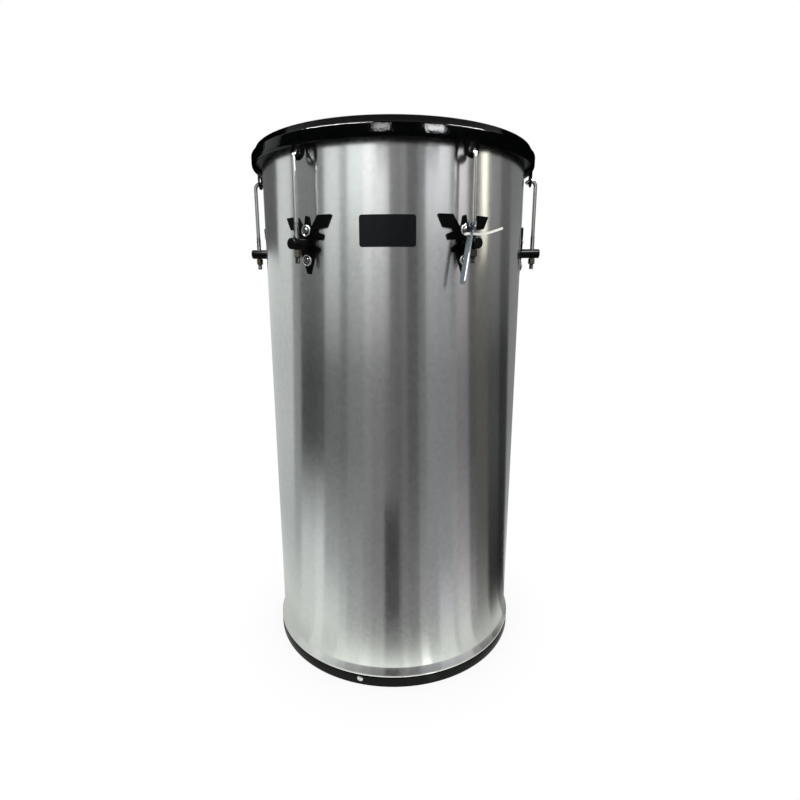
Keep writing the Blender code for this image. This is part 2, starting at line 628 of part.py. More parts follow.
def build():
    """Model every piece of the drum and put it in its place."""
    clear_scene()
    aluminium = finish("satin_aluminium", (0.66, 0.67, 0.66), 0.28, 1.0)
    black_gloss = finish("black_enamel", (0.012, 0.013, 0.014), 0.12, 0.0)
    black_satin = finish("black_powder_coat", (0.015, 0.016, 0.017), 0.35, 0.0)
    rubber = finish("black_rubber", (0.02, 0.02, 0.02), 0.6, 0.0)
    steel = finish("bright_steel", (0.62, 0.63, 0.64), 0.2, 1.0)
    brass = finish("dull_brass", (0.45, 0.37, 0.2), 0.35, 1.0)
    white_skin = finish("coated_skin", (0.82, 0.81, 0.77), 0.5, 0.0)
    alloy = finish("bare_alloy", (0.55, 0.56, 0.57), 0.4, 1.0)
    label_black = finish("label_black", (0.012, 0.012, 0.013), 0.3, 0.0)
    nylon = finish("white_nylon", (0.85, 0.85, 0.82), 0.45, 0.0)
    chrome = finish("bright_chrome", (0.7, 0.71, 0.72), 0.1, 1.0)

    place("shell", shell_mesh(), aluminium)
    place("foot_ring", foot_ring_mesh(), rubber)
    rivet = rivet_mesh()
    for i, turn in enumerate(rivet_turns()):
        place(f"foot_rivet_{i + 1}", rivet, steel, turn=turn, at=(0.0, 0.0, RIVET_HEIGHT))
    place("label", label_mesh(), label_black, turn=LABEL_TURN)
    place("head", head_mesh(), white_skin)

    travel = anchor("hoop_travel")
    place("hoop", hoop_mesh(), black_gloss, parent=travel)
    place("flesh_hoop", flesh_hoop_mesh(), alloy, parent=travel)

    bracket = bracket_mesh()
    post = post_mesh()
    hook_rod = hook_rod_mesh()
    tuning_nut = nut_mesh(NUT_ACROSS, NUT_HEIGHT, THREAD_RADIUS + GAP, "tuning_nut")
    screw = screw_mesh()
    inner_nut = inner_nut_mesh()
    for i, turn in enumerate(station_turns()):
        n = i + 1
        angle = math.radians(turn)
        place(f"bracket_{n}", bracket, black_satin, turn=turn)
        place(f"post_{n}", post, black_satin, turn=turn)
        place(f"hook_rod_{n}", hook_rod, steel, turn=turn, parent=travel)
        place(f"tuning_nut_{n}", tuning_nut, brass, turn=turn,
              at=(ROD_CIRCLE * math.sin(angle), -ROD_CIRCLE * math.cos(angle), NUT_TOP_Z))
        for side, offset in screw_offsets():
            place(f"screw_{side}_{n}", screw, chrome, turn=turn, at=(0.0, 0.0, POST_Z + offset))
            place(f"inner_nut_{side}_{n}", inner_nut, steel, turn=turn, at=(0.0, 0.0, POST_Z + offset))

    turn = station_turns()[KEY_STATION]
    angle = math.radians(turn)
    place("cable_tie", cable_tie_mesh(), nylon, turn=turn)
    place("tuning_key", tuning_key_mesh(), chrome, turn=turn, lean=KEY_LEAN,
          at=(KEY_ACROSS * math.cos(angle) + KEY_CIRCLE * math.sin(angle),
              KEY_ACROSS * math.sin(angle) - KEY_CIRCLE * math.cos(angle), KEY_PIVOT_Z))


build()
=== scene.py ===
"""Looks of a tantan: a tall one-headed samba hand drum with an aluminium shell.

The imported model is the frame. Lengths are in millimetres until a mesh is made, +Z is up, -Y is
the front, and an angle round the drum is counted from -Y towards +X, as in the part itself.
"""
from __future__ import annotations

import json
import logging
import math
from dataclasses import dataclass
from enum import Enum
from typing import Any, Iterable, Sequence

import bmesh
import bpy
from mathutils import Matrix, Vector


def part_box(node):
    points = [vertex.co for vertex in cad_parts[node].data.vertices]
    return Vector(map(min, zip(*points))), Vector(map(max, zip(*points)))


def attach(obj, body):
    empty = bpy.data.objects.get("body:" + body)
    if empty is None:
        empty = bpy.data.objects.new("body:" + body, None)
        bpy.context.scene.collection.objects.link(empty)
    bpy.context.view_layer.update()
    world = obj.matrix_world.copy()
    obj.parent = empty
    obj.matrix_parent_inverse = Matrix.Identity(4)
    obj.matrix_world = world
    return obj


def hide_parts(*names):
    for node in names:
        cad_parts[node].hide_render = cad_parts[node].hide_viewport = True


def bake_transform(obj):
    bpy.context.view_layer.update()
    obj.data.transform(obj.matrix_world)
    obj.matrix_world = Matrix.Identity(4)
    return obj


MM = 0.001
GAP = 0.3
LOG = logging.getLogger("tantan")

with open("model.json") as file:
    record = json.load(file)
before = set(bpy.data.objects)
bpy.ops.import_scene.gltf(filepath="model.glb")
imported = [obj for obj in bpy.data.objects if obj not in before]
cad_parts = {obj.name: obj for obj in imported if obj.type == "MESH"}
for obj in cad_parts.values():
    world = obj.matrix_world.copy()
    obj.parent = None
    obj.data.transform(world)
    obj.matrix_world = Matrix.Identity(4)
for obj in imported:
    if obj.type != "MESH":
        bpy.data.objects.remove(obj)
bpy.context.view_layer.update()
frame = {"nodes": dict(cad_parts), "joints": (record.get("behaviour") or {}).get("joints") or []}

Point = tuple[float, float]
Colour = tuple[float, float, float]


class Body(Enum):
    """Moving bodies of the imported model."""

    SHELL = "shell"
    HOOP = "hoop"
    KEY = "key"


class Socket:
    """A shader value that takes part in Python expressions."""

    def __init__(self, graph: "Graph", socket: bpy.types.NodeSocket) -> None:
        """Wrap one output of a node.

        Args:
            graph: Graph that the node belongs to.
            socket: Output socket of the node.
        """
        self.graph = graph
        self.socket = socket

    def _math(self, operation: str, first: Any, second: Any) -> "Socket":
        """Add one Math node over two values."""
        return self.graph.node("ShaderNodeMath", {"operation": operation}, {0: first, 1: second}).out(0)

    def __add__(self, other: Any) -> "Socket":
        """Sum of two values."""
        return self._math("ADD", self, other)

    def __radd__(self, other: Any) -> "Socket":
        """Sum with a number on the left."""
        return self._math("ADD", other, self)

    def __sub__(self, other: Any) -> "Socket":
        """Difference of two values."""
        return self._math("SUBTRACT", self, other)

    def __rsub__(self, other: Any) -> "Socket":
        """Difference from a number on the left."""
        return self._math("SUBTRACT", other, self)

    def __mul__(self, other: Any) -> "Socket":
        """Product of two values."""
        return self._math("MULTIPLY", self, other)

    def __rmul__(self, other: Any) -> "Socket":
        """Product with a number on the left."""
        return self._math("MULTIPLY", other, self)

    def __truediv__(self, other: Any) -> "Socket":
        """Quotient of two values."""
        return self._math("DIVIDE", self, other)

    def __pow__(self, other: Any) -> "Socket":
        """Power of a value."""
        return self._math("POWER", self, other)

    def above(self, other: Any) -> "Socket":
        """One where the value is greater, else zero."""
        return self._math("GREATER_THAN", self, other)

    def largest(self, other: Any) -> "Socket":
        """Greater of two values."""
        return self._math("MAXIMUM", self, other)


class Placed:
    """One node of a graph, whose outputs are read by name or number."""

    def __init__(self, graph: "Graph", node: bpy.types.Node) -> None:
        """Keep the node with its graph.

        Args:
            graph: Graph that the node belongs to.
            node: The node.
        """
        self.graph = graph
        self.node = node

    def out(self, key: int | str) -> Socket:
        """One output, wrapped for expressions."""
        return Socket(self.graph, self.node.outputs[key])


class Graph:
    """Node graph of a material or of the world."""

    def __init__(self, tree: bpy.types.NodeTree) -> None:
        """Empty a node tree and keep it.

        Args:
            tree: Tree to fill.
        """
        self.tree = tree
        tree.nodes.clear()

    def node(self, kind: str, settings: dict[str, Any] | None = None, inputs: dict[Any, Any] | None = None) -> Placed:
        """Add a node.

        Args:
            kind: Node type.
            settings: Properties of the node, set first.
            inputs: Values or links, by socket name or number.

        Returns:
            The placed node.
        """
        node = self.tree.nodes.new(kind)
        for name, value in (settings or {}).items():
            if name == "stops":
                self._fill_ramp(node.color_ramp, value)
            else:
                setattr(node, name, value)
        for key, value in (inputs or {}).items():
            if isinstance(value, Socket):
                self.tree.links.new(value.socket, node.inputs[key])
            elif isinstance(value, (tuple, list)) and node.inputs[key].type == "RGBA":
                node.inputs[key].default_value = (*value[:3], 1.0)
            else:
                node.inputs[key].default_value = value
        return Placed(self, node)

    @staticmethod
    def _fill_ramp(ramp: bpy.types.ColorRamp, stops: Sequence[tuple[float, float]]) -> None:
        """Set a ramp's stops from (position, grey level) pairs."""
        while len(ramp.elements) < len(stops):
            ramp.elements.new(1.0)
        for element, (position, level) in zip(ramp.elements, stops):
            element.position = position
            element.color = (level, level, level, 1.0)

    def place(self) -> Socket:
        """Object coordinates, in metres on a piece that is not scaled."""
        return self.node("ShaderNodeTexCoord").out("Object")

    def stretched(self, scale: tuple[float, float, float]) -> Socket:
        """Object coordinates multiplied by a scale along each axis."""
        settings = {"operation": "MULTIPLY"}
        return self.node("ShaderNodeVectorMath", settings, {0: self.place(), 1: scale}).out(0)

    def noise(self, where: Socket, scale: float, detail: float = 2.0, roughness: float = 0.5) -> Socket:
        """Noise over a vector, as a value round one half."""
        inputs = {"Vector": where, "Scale": scale, "Detail": detail, "Roughness": roughness}
        return self.node("ShaderNodeTexNoise", {}, inputs).out(0)

    def cells(self, where: Socket, scale: float) -> Socket:
        """One random value for each cell of a Voronoi pattern."""
        voronoi = self.node("ShaderNodeTexVoronoi", {}, {"Vector": where, "Scale": scale})
        return self.node("ShaderNodeSeparateColor", {}, {0: voronoi.out("Color")}).out(0)

    def ramp(self, value: Socket, stops: Sequence[tuple[float, float]]) -> Socket:
        """Value through a grey ramp."""
        return self.node("ShaderNodeValToRGB", {"stops": stops}, {"Fac": value}).out("Color")

    def blend(self, factor: Socket, low: Colour | Socket, high: Colour | Socket) -> Socket:
        """Colour between two colours."""
        settings = {"data_type": "RGBA"}
        return self.node("ShaderNodeMix", settings, {0: factor, 6: low, 7: high}).out(2)

    def bump(self, height: Socket, distance: float, strength: float = 1.0) -> Socket:
        """Normal from a height between zero and one.

        Args:
            height: Height pattern.
            distance: What a height of one stands for, in millimetres.
            strength: Share of the effect.

        Returns:
            The bumped normal.
        """
        inputs = {"Height": height, "Distance": distance * MM, "Strength": strength}
        return self.node("ShaderNodeBump", {}, inputs).out("Normal")

    def finish(self, inputs: dict[str, Any]) -> None:
        """Join a Principled shader with these inputs to the material's output."""
        shader = self.node("ShaderNodeBsdfPrincipled", {}, inputs).out("BSDF")
        self.node("ShaderNodeOutputMaterial", {}, {"Surface": shader})


@dataclass(frozen=True)
class Finish:
    """Base of every finish: a name, a colour and its gloss."""

    name: str
    colour: Colour
    roughness: float

    def material(self) -> bpy.types.Material:
        """Material of this finish, made once."""
        found = bpy.data.materials.get(self.name)
        if found is None:
            found = bpy.data.materials.new(self.name)
            found.use_nodes = True
            self.fill(Graph(found.node_tree))
        return found

    def fill(self, graph: Graph) -> None:
        """Lay out the nodes. Each finish has its own way."""
        raise NotImplementedError


@dataclass(frozen=True)
class RolledAluminium(Finish):
    """Bare sheet with a faint spangle, rolled waves and fine grain along the drum."""

    spangle: float = 200.0
    waves: float = 45.0
    grain: float = 900.0
    stretch: float = 0.8

    def fill(self, graph: Graph) -> None:
        """Spangle in colour and gloss, with waves and grain in the surface.

        Args:
            graph: Graph of the material.
        """
        flakes = graph.cells(graph.stretched((1.0, 1.0, 0.8)), self.spangle)
        clouds = graph.noise(graph.place(), 11.0, 4.0, 0.6)
        grain = graph.noise(graph.stretched((1.0, 1.0, 0.012)), self.grain, 3.0, 0.6)
        waves = graph.noise(graph.stretched((1.0, 1.0, 0.05)), self.waves, 3.0, 0.5)
        shade = 0.5 * flakes + 0.5 * clouds
        dark = tuple(0.93 * c for c in self.colour)
        light = tuple(min(1.0, 1.05 * c) for c in self.colour)
        roughness = self.roughness + 0.07 * clouds + 0.05 * grain + 0.03 * flakes - 0.07
        relief = 0.6 * waves + 0.04 * grain
        graph.finish({"Base Color": graph.blend(shade, dark, light), "Metallic": 1.0, "Roughness": roughness,
                      "Anisotropic": self.stretch, "Anisotropic Rotation": 0.25,
                      "Normal": graph.bump(relief, 0.05)})


@dataclass(frozen=True)
class Enamel(Finish):
    """Black paint with orange peel and a little dust."""

    peel: float = 260.0
    depth: float = 0.035
    specular: float = 0.5

    def fill(self, graph: Graph) -> None:
        """Paint with a fine ripple and slightly uneven gloss.

        Args:
            graph: Graph of the material.
        """
        peel = graph.noise(graph.place(), self.peel, 2.0, 0.5)
        dust = graph.noise(graph.place(), 45.0, 5.0, 0.7)
        wear_and_highlight = tuple(min(1.0, 2.2 * c) for c in self.colour)
        graph.finish({"Base Color": graph.blend(graph.ramp(dust, [(0.45, 0.0), (0.8, 0.6)]), self.colour, wear_and_highlight),
                      "Roughness": self.roughness + 0.12 * dust - 0.05, "Specular IOR Level": self.specular,
                      "Normal": graph.bump(peel, self.depth)})


@dataclass(frozen=True)
class PlatedMetal(Finish):
    """Zinc, chrome or bare alloy, with fine scratches and a slight tarnish."""

    tarnish: Colour = (0.3, 0.3, 0.29)
    share: float = 0.35

    def fill(self, graph: Graph) -> None:
        """Metal with patchy tarnish and hairline scratches.

        Args:
            graph: Graph of the material.
        """
        patches = graph.noise(graph.place(), 130.0, 5.0, 0.65)
        scratches = graph.noise(graph.stretched((1.0, 1.0, 0.06)), 1600.0, 2.0, 0.6)
        stain = self.share * graph.ramp(patches, [(0.42, 0.0), (0.75, 1.0)])
        gloss = self.roughness + 0.16 * patches + 0.05 * scratches - 0.09
        graph.finish({"Base Color": self.base(graph, stain), "Metallic": 1.0, "Roughness": self.dulled(graph, gloss),
                      "Normal": graph.bump(scratches, 0.012)})

    def base(self, graph: Graph, stain: Socket) -> Socket:
        """Colour of the plating with its tarnish."""
        return graph.blend(stain, self.colour, self.tarnish)

    def dulled(self, graph: Graph, gloss: Socket) -> Socket:
        """Roughness of the plating, the same all over."""
        return gloss


@dataclass(frozen=True)
class ThreadedRod(PlatedMetal):
    """Plated rod whose thread is darkened with painted shade and dulled."""

    thread_top: float = 589.2
    thread_shade: float = 0.15
    thread_dulling: float = 0.35

    def base(self, graph: Graph, stain: Socket) -> Socket:
        """Plating that is dark on the thread, as painted shade.

        Args:
            graph: Graph of the material.
            stain: Share of the tarnish.

        Returns:
            The colour.
        """
        # painted shade: the thread's colour is darkened to thread_shade of the plating
        thread_painted_shade = tuple(self.thread_shade * c for c in self.colour)
        return graph.blend(self.shank(graph), thread_painted_shade, PlatedMetal.base(self, graph, stain))

    def dulled(self, graph: Graph, gloss: Socket) -> Socket:
        """Roughness of the plating, dull on the thread."""
        return gloss + self.thread_dulling * (1.0 - self.shank(graph))

    def shank(self, graph: Graph) -> Socket:
        """One above the thread, else zero."""
        return graph.node("ShaderNodeSeparateXYZ", {}, {0: graph.place()}).out("Z").above(self.thread_top * MM)


@dataclass(frozen=True)
class RingedScrew(PlatedMetal):
    """Bright washer round a screw head, with painted shade in its seat and recess."""

    middle: float = 566.1
    reach: float = 8.0

    def base(self, graph: Graph, stain: Socket) -> Socket:
        """Plating with painted shade from the washer's ring inwards.

        Args:
            graph: Graph of the material.
            stain: Share of the tarnish.

        Returns:
            The colour.
        """
        centre = (0.0, 0.0, self.middle * MM)
        apart = graph.node("ShaderNodeVectorMath", {"operation": "SUBTRACT"},
                           {0: graph.stretched((1.0, 0.0, 1.0)), 1: centre}).out(0)
        away = graph.node("ShaderNodeVectorMath", {"operation": "LENGTH"}, {0: apart}).out("Value")
        # painted shade: dim over the head, near black in the recess and in the groove round the head, full colour on
        # the washer's ring
        unshaded_share = graph.ramp(away / (self.reach * MM), [(0.0, 0.04), (0.15, 0.3), (0.47, 0.3), (0.52, 0.01),
                                                      (0.6, 0.01), (0.66, 1.0)])
        return graph.blend(unshaded_share, (0.0, 0.0, 0.0), PlatedMetal.base(self, graph, stain))


@dataclass(frozen=True)
class EdgedPlate(PlatedMetal):
    """Dull plated faces with a painted highlight: a bright line along the lower edges."""

    # colour of the painted highlight
    edge: Colour = (0.95, 0.97, 1.0)
    line: float = -0.35
    highlight_top: float = -20.5

    def base(self, graph: Graph, stain: Socket) -> Socket:
        """Plating with a painted highlight, bright along one side of the edges, below a height.

        Args:
            graph: Graph of the material.
            stain: Share of the tarnish.

        Returns:
            The colour.
        """
        facing = graph.node("ShaderNodeSeparateXYZ", {}, {0: graph.node("ShaderNodeTexCoord").out("Normal")})
        across = facing.out("X")
        edge = graph.ramp(across * across, [(0.2, 1.0), (0.7, 0.0)])
        place = graph.node("ShaderNodeSeparateXYZ", {}, {0: graph.place()})
        # painted highlight: only on one side of the plate and below a height
        wear_and_highlight = (self.line * MM - place.out("X")).above(0.0) * (self.highlight_top * MM - place.out("Z")).above(0.0)
        return graph.blend(edge * wear_and_highlight, PlatedMetal.base(self, graph, stain), self.edge)


@dataclass(frozen=True)
class CoatedFilm(Finish):
    """Milky coated head with a sprayed tooth, playing marks and painted shade on its edge under the hoop."""

    # height below which the film carries painted shade
    rim: float = 684.0

    def fill(self, graph: Graph) -> None:
        """Sprayed coating, greyer in the middle where hands strike, with painted shade below the rim under the hoop.

        Args:
            graph: Graph of the material.
        """
        tooth = graph.noise(graph.place(), 700.0, 3.0, 0.7)
        cloud = graph.noise(graph.place(), 14.0, 4.0, 0.6)
        middle = graph.node("ShaderNodeVectorMath", {"operation": "LENGTH"}, {0: graph.stretched((1.0, 1.0, 0.0))})
        wear_and_highlight = graph.ramp(middle.out("Value") * 6.0, [(0.0, 0.35), (0.75, 0.0)]) * cloud
        used = tuple(0.72 * c for c in self.colour)
        height = graph.node("ShaderNodeSeparateXYZ", {}, {0: graph.place()}).out("Z")
        # painted shade: below the rim height, under the hoop, the film is painted near black
        face = height.above(self.rim * MM)
        film = graph.blend(wear_and_highlight, self.colour, used)
        graph.finish({"Base Color": graph.blend(face, (0.01, 0.01, 0.01), film),
                      "Roughness": self.roughness + 0.1 * cloud, "Normal": graph.bump(tooth, 0.05)})


@dataclass(frozen=True)
class MouldedNylon(Finish):
    """White nylon with a dull moulded skin."""

    def fill(self, graph: Graph) -> None:
        """Nylon with a faint mould texture.

        Args:
            graph: Graph of the material.
        """
        skin = graph.noise(graph.place(), 900.0, 2.0, 0.5)
        tint = graph.noise(graph.place(), 60.0, 2.0, 0.5)
        shade = tuple(0.9 * c for c in self.colour)
        graph.finish({"Base Color": graph.blend(tint, self.colour, shade),
                      "Roughness": self.roughness + 0.1 * skin, "Normal": graph.bump(skin, 0.03)})


ALUMINIUM = RolledAluminium("rolled aluminium", (0.72, 0.73, 0.725), 0.2)
HOOP_ENAMEL = Enamel("hoop enamel", (0.0012, 0.0014, 0.0015), 0.06, 420.0, 0.11, 0.2)
EAR_ENAMEL = Enamel("ear enamel", (0.0012, 0.0014, 0.0015), 0.2, 420.0, 0.05, 0.1)
POWDER_COAT = Enamel("bracket powder coat", (0.001, 0.0012, 0.0012), 0.36, 1400.0, 0.03, 0.05)
POST_BLACK = Enamel("post black", (0.001, 0.0012, 0.0012), 0.3, 1400.0, 0.02, 0.12)
EDGE_BLACK = Enamel("foot ring black", (0.003, 0.0034, 0.003), 0.36, 500.0, 0.05, 0.08)
PLATE_BLACK = Enamel("label black", (0.004, 0.0045, 0.0055), 0.4, 1800.0, 0.012, 0.16)
ROD_ZINC = ThreadedRod("rod zinc", (0.48, 0.48, 0.47), 0.07)
SCREW_CHROME = RingedScrew("screw chrome", (0.85, 0.86, 0.86), 0.14, (0.5, 0.49, 0.47), 0.25)
KEY_PLATE = EdgedPlate("key plating", (0.32, 0.37, 0.4), 0.24, (0.2, 0.24, 0.27), 0.5)
NUT_ZINC = PlatedMetal("nut yellow zinc", (0.2, 0.19, 0.145), 0.22, (0.16, 0.14, 0.1), 0.5)
RIVET_STEEL = PlatedMetal("rivet steel", (0.66, 0.66, 0.65), 0.26)
BARE_ALLOY = PlatedMetal("bare alloy", (0.56, 0.57, 0.58), 0.35)
HEAD_FILM = CoatedFilm("coated head", (0.83, 0.82, 0.78), 0.42)
NYLON = MouldedNylon("white nylon", (0.86, 0.86, 0.8), 0.38)


def arc(centre: Point, radius: float, start: float, end: float, steps: int) -> list[Point]:
    """Points along an arc.

    Args:
        centre: Centre of the arc.
        radius: Its radius.
        start: First angle in degrees.
        end: Last angle in degrees.
        steps: Number of chords.

    Returns:
        The points, first to last.
    """
    angles = [math.radians(start + (end - start) * i / steps) for i in range(steps + 1)]
    return [(centre[0] + radius * math.cos(a), centre[1] + radius * math.sin(a)) for a in angles]


def rounded(points: Sequence[Point], radius: float, steps: int = 3) -> list[Point]:
    """Ease the corners of a closed outline.

    Args:
        points: Corners in order.
        radius: How far from a corner its easing starts.
        steps: Chords to a corner.

    Returns:
        The eased outline.
    """
    eased = []
    count = len(points)
    for i, corner in enumerate(points):
        here = Vector(corner)
        before = Vector(points[i - 1]) - here
        after = Vector(points[(i + 1) % count]) - here
        reach = min(radius, 0.45 * before.length, 0.45 * after.length)
        first = here + before.normalized() * reach
        last = here + after.normalized() * reach
        for k in range(steps + 1):
            t = k / steps
            spot = first * (1.0 - t) ** 2 + here * 2.0 * t * (1.0 - t) + last * t ** 2
            eased.append((spot.x, spot.y))
    return eased


def closed_mesh(bm: bmesh.types.BMesh, name: str) -> bpy.types.Mesh:
    """Turn a bmesh into a mesh whose faces point out."""
    bmesh.ops.remove_doubles(bm, verts=bm.verts, dist=1e-7)
    bmesh.ops.recalc_face_normals(bm, faces=bm.faces)
    mesh = bpy.data.meshes.new(name)
    bm.to_mesh(mesh)
    bm.free()
    return mesh


def turned(profile: Sequence[Point], segments: int, name: str) -> bpy.types.Mesh:
    """Spin a closed profile of (radius, height) points about Z.

    Args:
        profile: Points in millimetres.
        segments: Steps of the full turn.
        name: Name of the mesh.

    Returns:
        The turned mesh.
    """
    bm = bmesh.new()
    verts = [bm.verts.new((0.0, -radius * MM, height * MM)) for radius, height in profile]
    edges = [bm.edges.new((a, b)) for a, b in zip(verts, verts[1:] + verts[:1])
             if a.co.y != 0.0 or b.co.y != 0.0]
    bmesh.ops.spin(bm, geom=verts + edges, cent=(0.0, 0.0, 0.0), axis=(0.0, 0.0, 1.0),
                   angle=2.0 * math.pi, steps=segments, use_merge=True, use_duplicate=False)
    return closed_mesh(bm, name)


def flat_plate(outline: Sequence[Point], thickness: float, name: str) -> bpy.types.Mesh:
    """Extrude (across, height) points into a plate centred on y = 0."""
    bm = bmesh.new()
    bm.faces.new([bm.verts.new((x * MM, thickness / 2.0 * MM, z * MM)) for x, z in outline])
    front = bmesh.ops.extrude_face_region(bm, geom=bm.faces[:])["geom"]
    bmesh.ops.translate(bm, vec=(0.0, -thickness * MM, 0.0),
                        verts=[item for item in front if isinstance(item, bmesh.types.BMVert)])
    return closed_mesh(bm, name)


def rolled_plate(outline: Sequence[Point], inner: float, thickness: float, step: float, name: str) -> bpy.types.Mesh:
    """Cut a plate to (across, height) points and roll it round the drum.

    Args:
        outline: Outline in millimetres.
        inner: Radius of the plate's back.
        thickness: Sheet thickness.
        step: Widest flat left between two bends.
        name: Name of the mesh.

    Returns:
        The rolled plate, at the front of the drum.
    """
    bm = bmesh.new()
    bm.faces.new([bm.verts.new((x, 0.0, z)) for x, z in outline])
    low = min(x for x, z in outline)
    high = max(x for x, z in outline)
    cuts = max(2, math.ceil((high - low) / step))
    for i in range(1, cuts):
        bmesh.ops.bisect_plane(bm, geom=bm.verts[:] + bm.edges[:] + bm.faces[:], dist=1e-5,
                               plane_co=(low + (high - low) * i / cuts, 0.0, 0.0), plane_no=(1.0, 0.0, 0.0))
    front = bmesh.ops.extrude_face_region(bm, geom=bm.faces[:])["geom"]
    bmesh.ops.translate(bm, vec=(0.0, -thickness, 0.0),
                        verts=[item for item in front if isinstance(item, bmesh.types.BMVert)])
    for vert in bm.verts:
        radius = (inner - vert.co.y) * MM
        angle = vert.co.x / inner
        vert.co = (radius * math.sin(angle), -radius * math.cos(angle), vert.co.z * MM)
    return closed_mesh(bm, name)


def swept(path: Sequence[Vector], outline: Sequence[Point], loop: bool, name: str) -> bpy.types.Mesh:
    """Carry an upright outline along a path in millimetres.

    Args:
        path: Points of the middle line.
        outline: Section as (sideways, up) points.
        loop: Whether the path closes on itself.
        name: Name of the mesh.

    Returns:
        The swept mesh, with its ends closed.
    """
    bm = bmesh.new()
    rings = []
    count = len(path)
    for i, spot in enumerate(path):
        before = path[i - 1] if loop or i > 0 else spot
        after = path[(i + 1) % count] if loop or i < count - 1 else spot
        along = (after - before).normalized()
        side = along.cross(Vector((0.0, 0.0, 1.0))).normalized()
        up = side.cross(along)
        rings.append([bm.verts.new((spot + side * s + up * u) * MM) for s, u in outline])
    pairs = list(zip(rings, rings[1:])) + ([(rings[-1], rings[0])] if loop else [])
    sides = len(outline)
    for one, two in pairs:
        for k in range(sides):
            bm.faces.new((one[k], one[(k + 1) % sides], two[(k + 1) % sides], two[k]))
    if not loop:
        bm.faces.new(rings[0])
        bm.faces.new(rings[-1])
    return closed_mesh(bm, name)


def cylinder(radius: float, length: float, matrix: Matrix, sides: int = 32) -> bpy.types.Mesh:
    """Plain cylinder for drilling, along its own Z."""
    bm = bmesh.new()
    bmesh.ops.create_cone(bm, cap_ends=True, segments=sides, radius1=radius * MM, radius2=radius * MM,
                          depth=length * MM, matrix=matrix)
    return closed_mesh(bm, "drill")


def cut(mesh: bpy.types.Mesh, other: bpy.types.Mesh, operation: str = "DIFFERENCE") -> bpy.types.Mesh:
    """Boolean of two meshes.

    Args:
        mesh: Mesh to work on.
        other: Mesh to cut, keep or join with.
        operation: Boolean operation.

    Returns:
        The result, under the first mesh's name.
    """
    name = mesh.name
    stock = bpy.data.objects.new("stock", mesh)
    tool = bpy.data.objects.new("tool", other)
    for piece in (stock, tool):
        bpy.context.scene.collection.objects.link(piece)
    modifier = stock.modifiers.new("Boolean", "BOOLEAN")
    modifier.operation = operation
    modifier.solver = "EXACT"
    modifier.object = tool
    graph = bpy.context.evaluated_depsgraph_get()
    result = bpy.data.meshes.new_from_object(stock.evaluated_get(graph))
    for piece in (stock, tool):
        bpy.data.objects.remove(piece, do_unlink=True)
    mesh.name = name + " stock"
    result.name = name
    return result


def out_at(distance: float, height: float) -> Matrix:
    """Matrix that turns Z to point out of the shell's front, at a distance and a height."""
    return Matrix.Translation((0.0, -distance * MM, height * MM)) @ Matrix.Rotation(math.pi / 2.0, 4, "X")


def add_piece(name: str, mesh: bpy.types.Mesh, finish: Finish, body: str, nodes: Iterable[str] = (),
              turn: float = 0.0, matrix: Matrix | None = None, bevel: float = 0.0,
              sharp: float = 40.0) -> bpy.types.Object:
    """Put one visible piece in the scene and let it ride on its body.

    Args:
        name: Name of the piece.
        mesh: Its mesh, which copies may share.
        finish: Its finish.
        body: Body that it moves with, or nothing where it lies between two and is left unattached.
        nodes: CAD nodes that it stands for.
        turn: Angle round the drum in degrees.
        matrix: Place, where it is more than a turn.
        bevel: Width of the eased edges in millimetres.
        sharp: Angle over which an edge stays sharp.

    Returns:
        The piece.
    """
    mesh.materials.clear()
    mesh.materials.append(finish.material())
    mesh.shade_smooth()
    mesh.set_sharp_from_angle(angle=math.radians(sharp))
    piece = bpy.data.objects.new(name, mesh)
    bpy.context.scene.collection.objects.link(piece)
    piece.matrix_world = matrix or Matrix.Rotation(math.radians(turn), 4, "Z")
    if bevel:
        modifier = piece.modifiers.new("Eased edges", "BEVEL")
        modifier.width = bevel * MM
        modifier.segments = 2
        modifier.limit_method = "ANGLE"
        modifier.angle_limit = math.radians(sharp)
        modifier.harden_normals = True
    if body:
        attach(piece, body)
    if nodes:
        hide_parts(*nodes)
    LOG.info("%s rides on %s", name, body or "two bodies")
    return piece


def dress(node: str, finish: Finish) -> None:
    """Give a CAD node that stays in view its finish."""
    piece = frame["nodes"][node]
    if not piece.material_slots:
        piece.data.materials.append(None)
    piece.material_slots[0].material = finish.material()
    LOG.info("%s keeps its solid", node)


def low(node: str) -> Vector:
    """Lowest corner of a CAD node in millimetres."""
    return Vector(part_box(node)[0]) / MM


def high(node: str) -> Vector:
    """Highest corner of a CAD node in millimetres."""
    return Vector(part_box(node)[1]) / MM


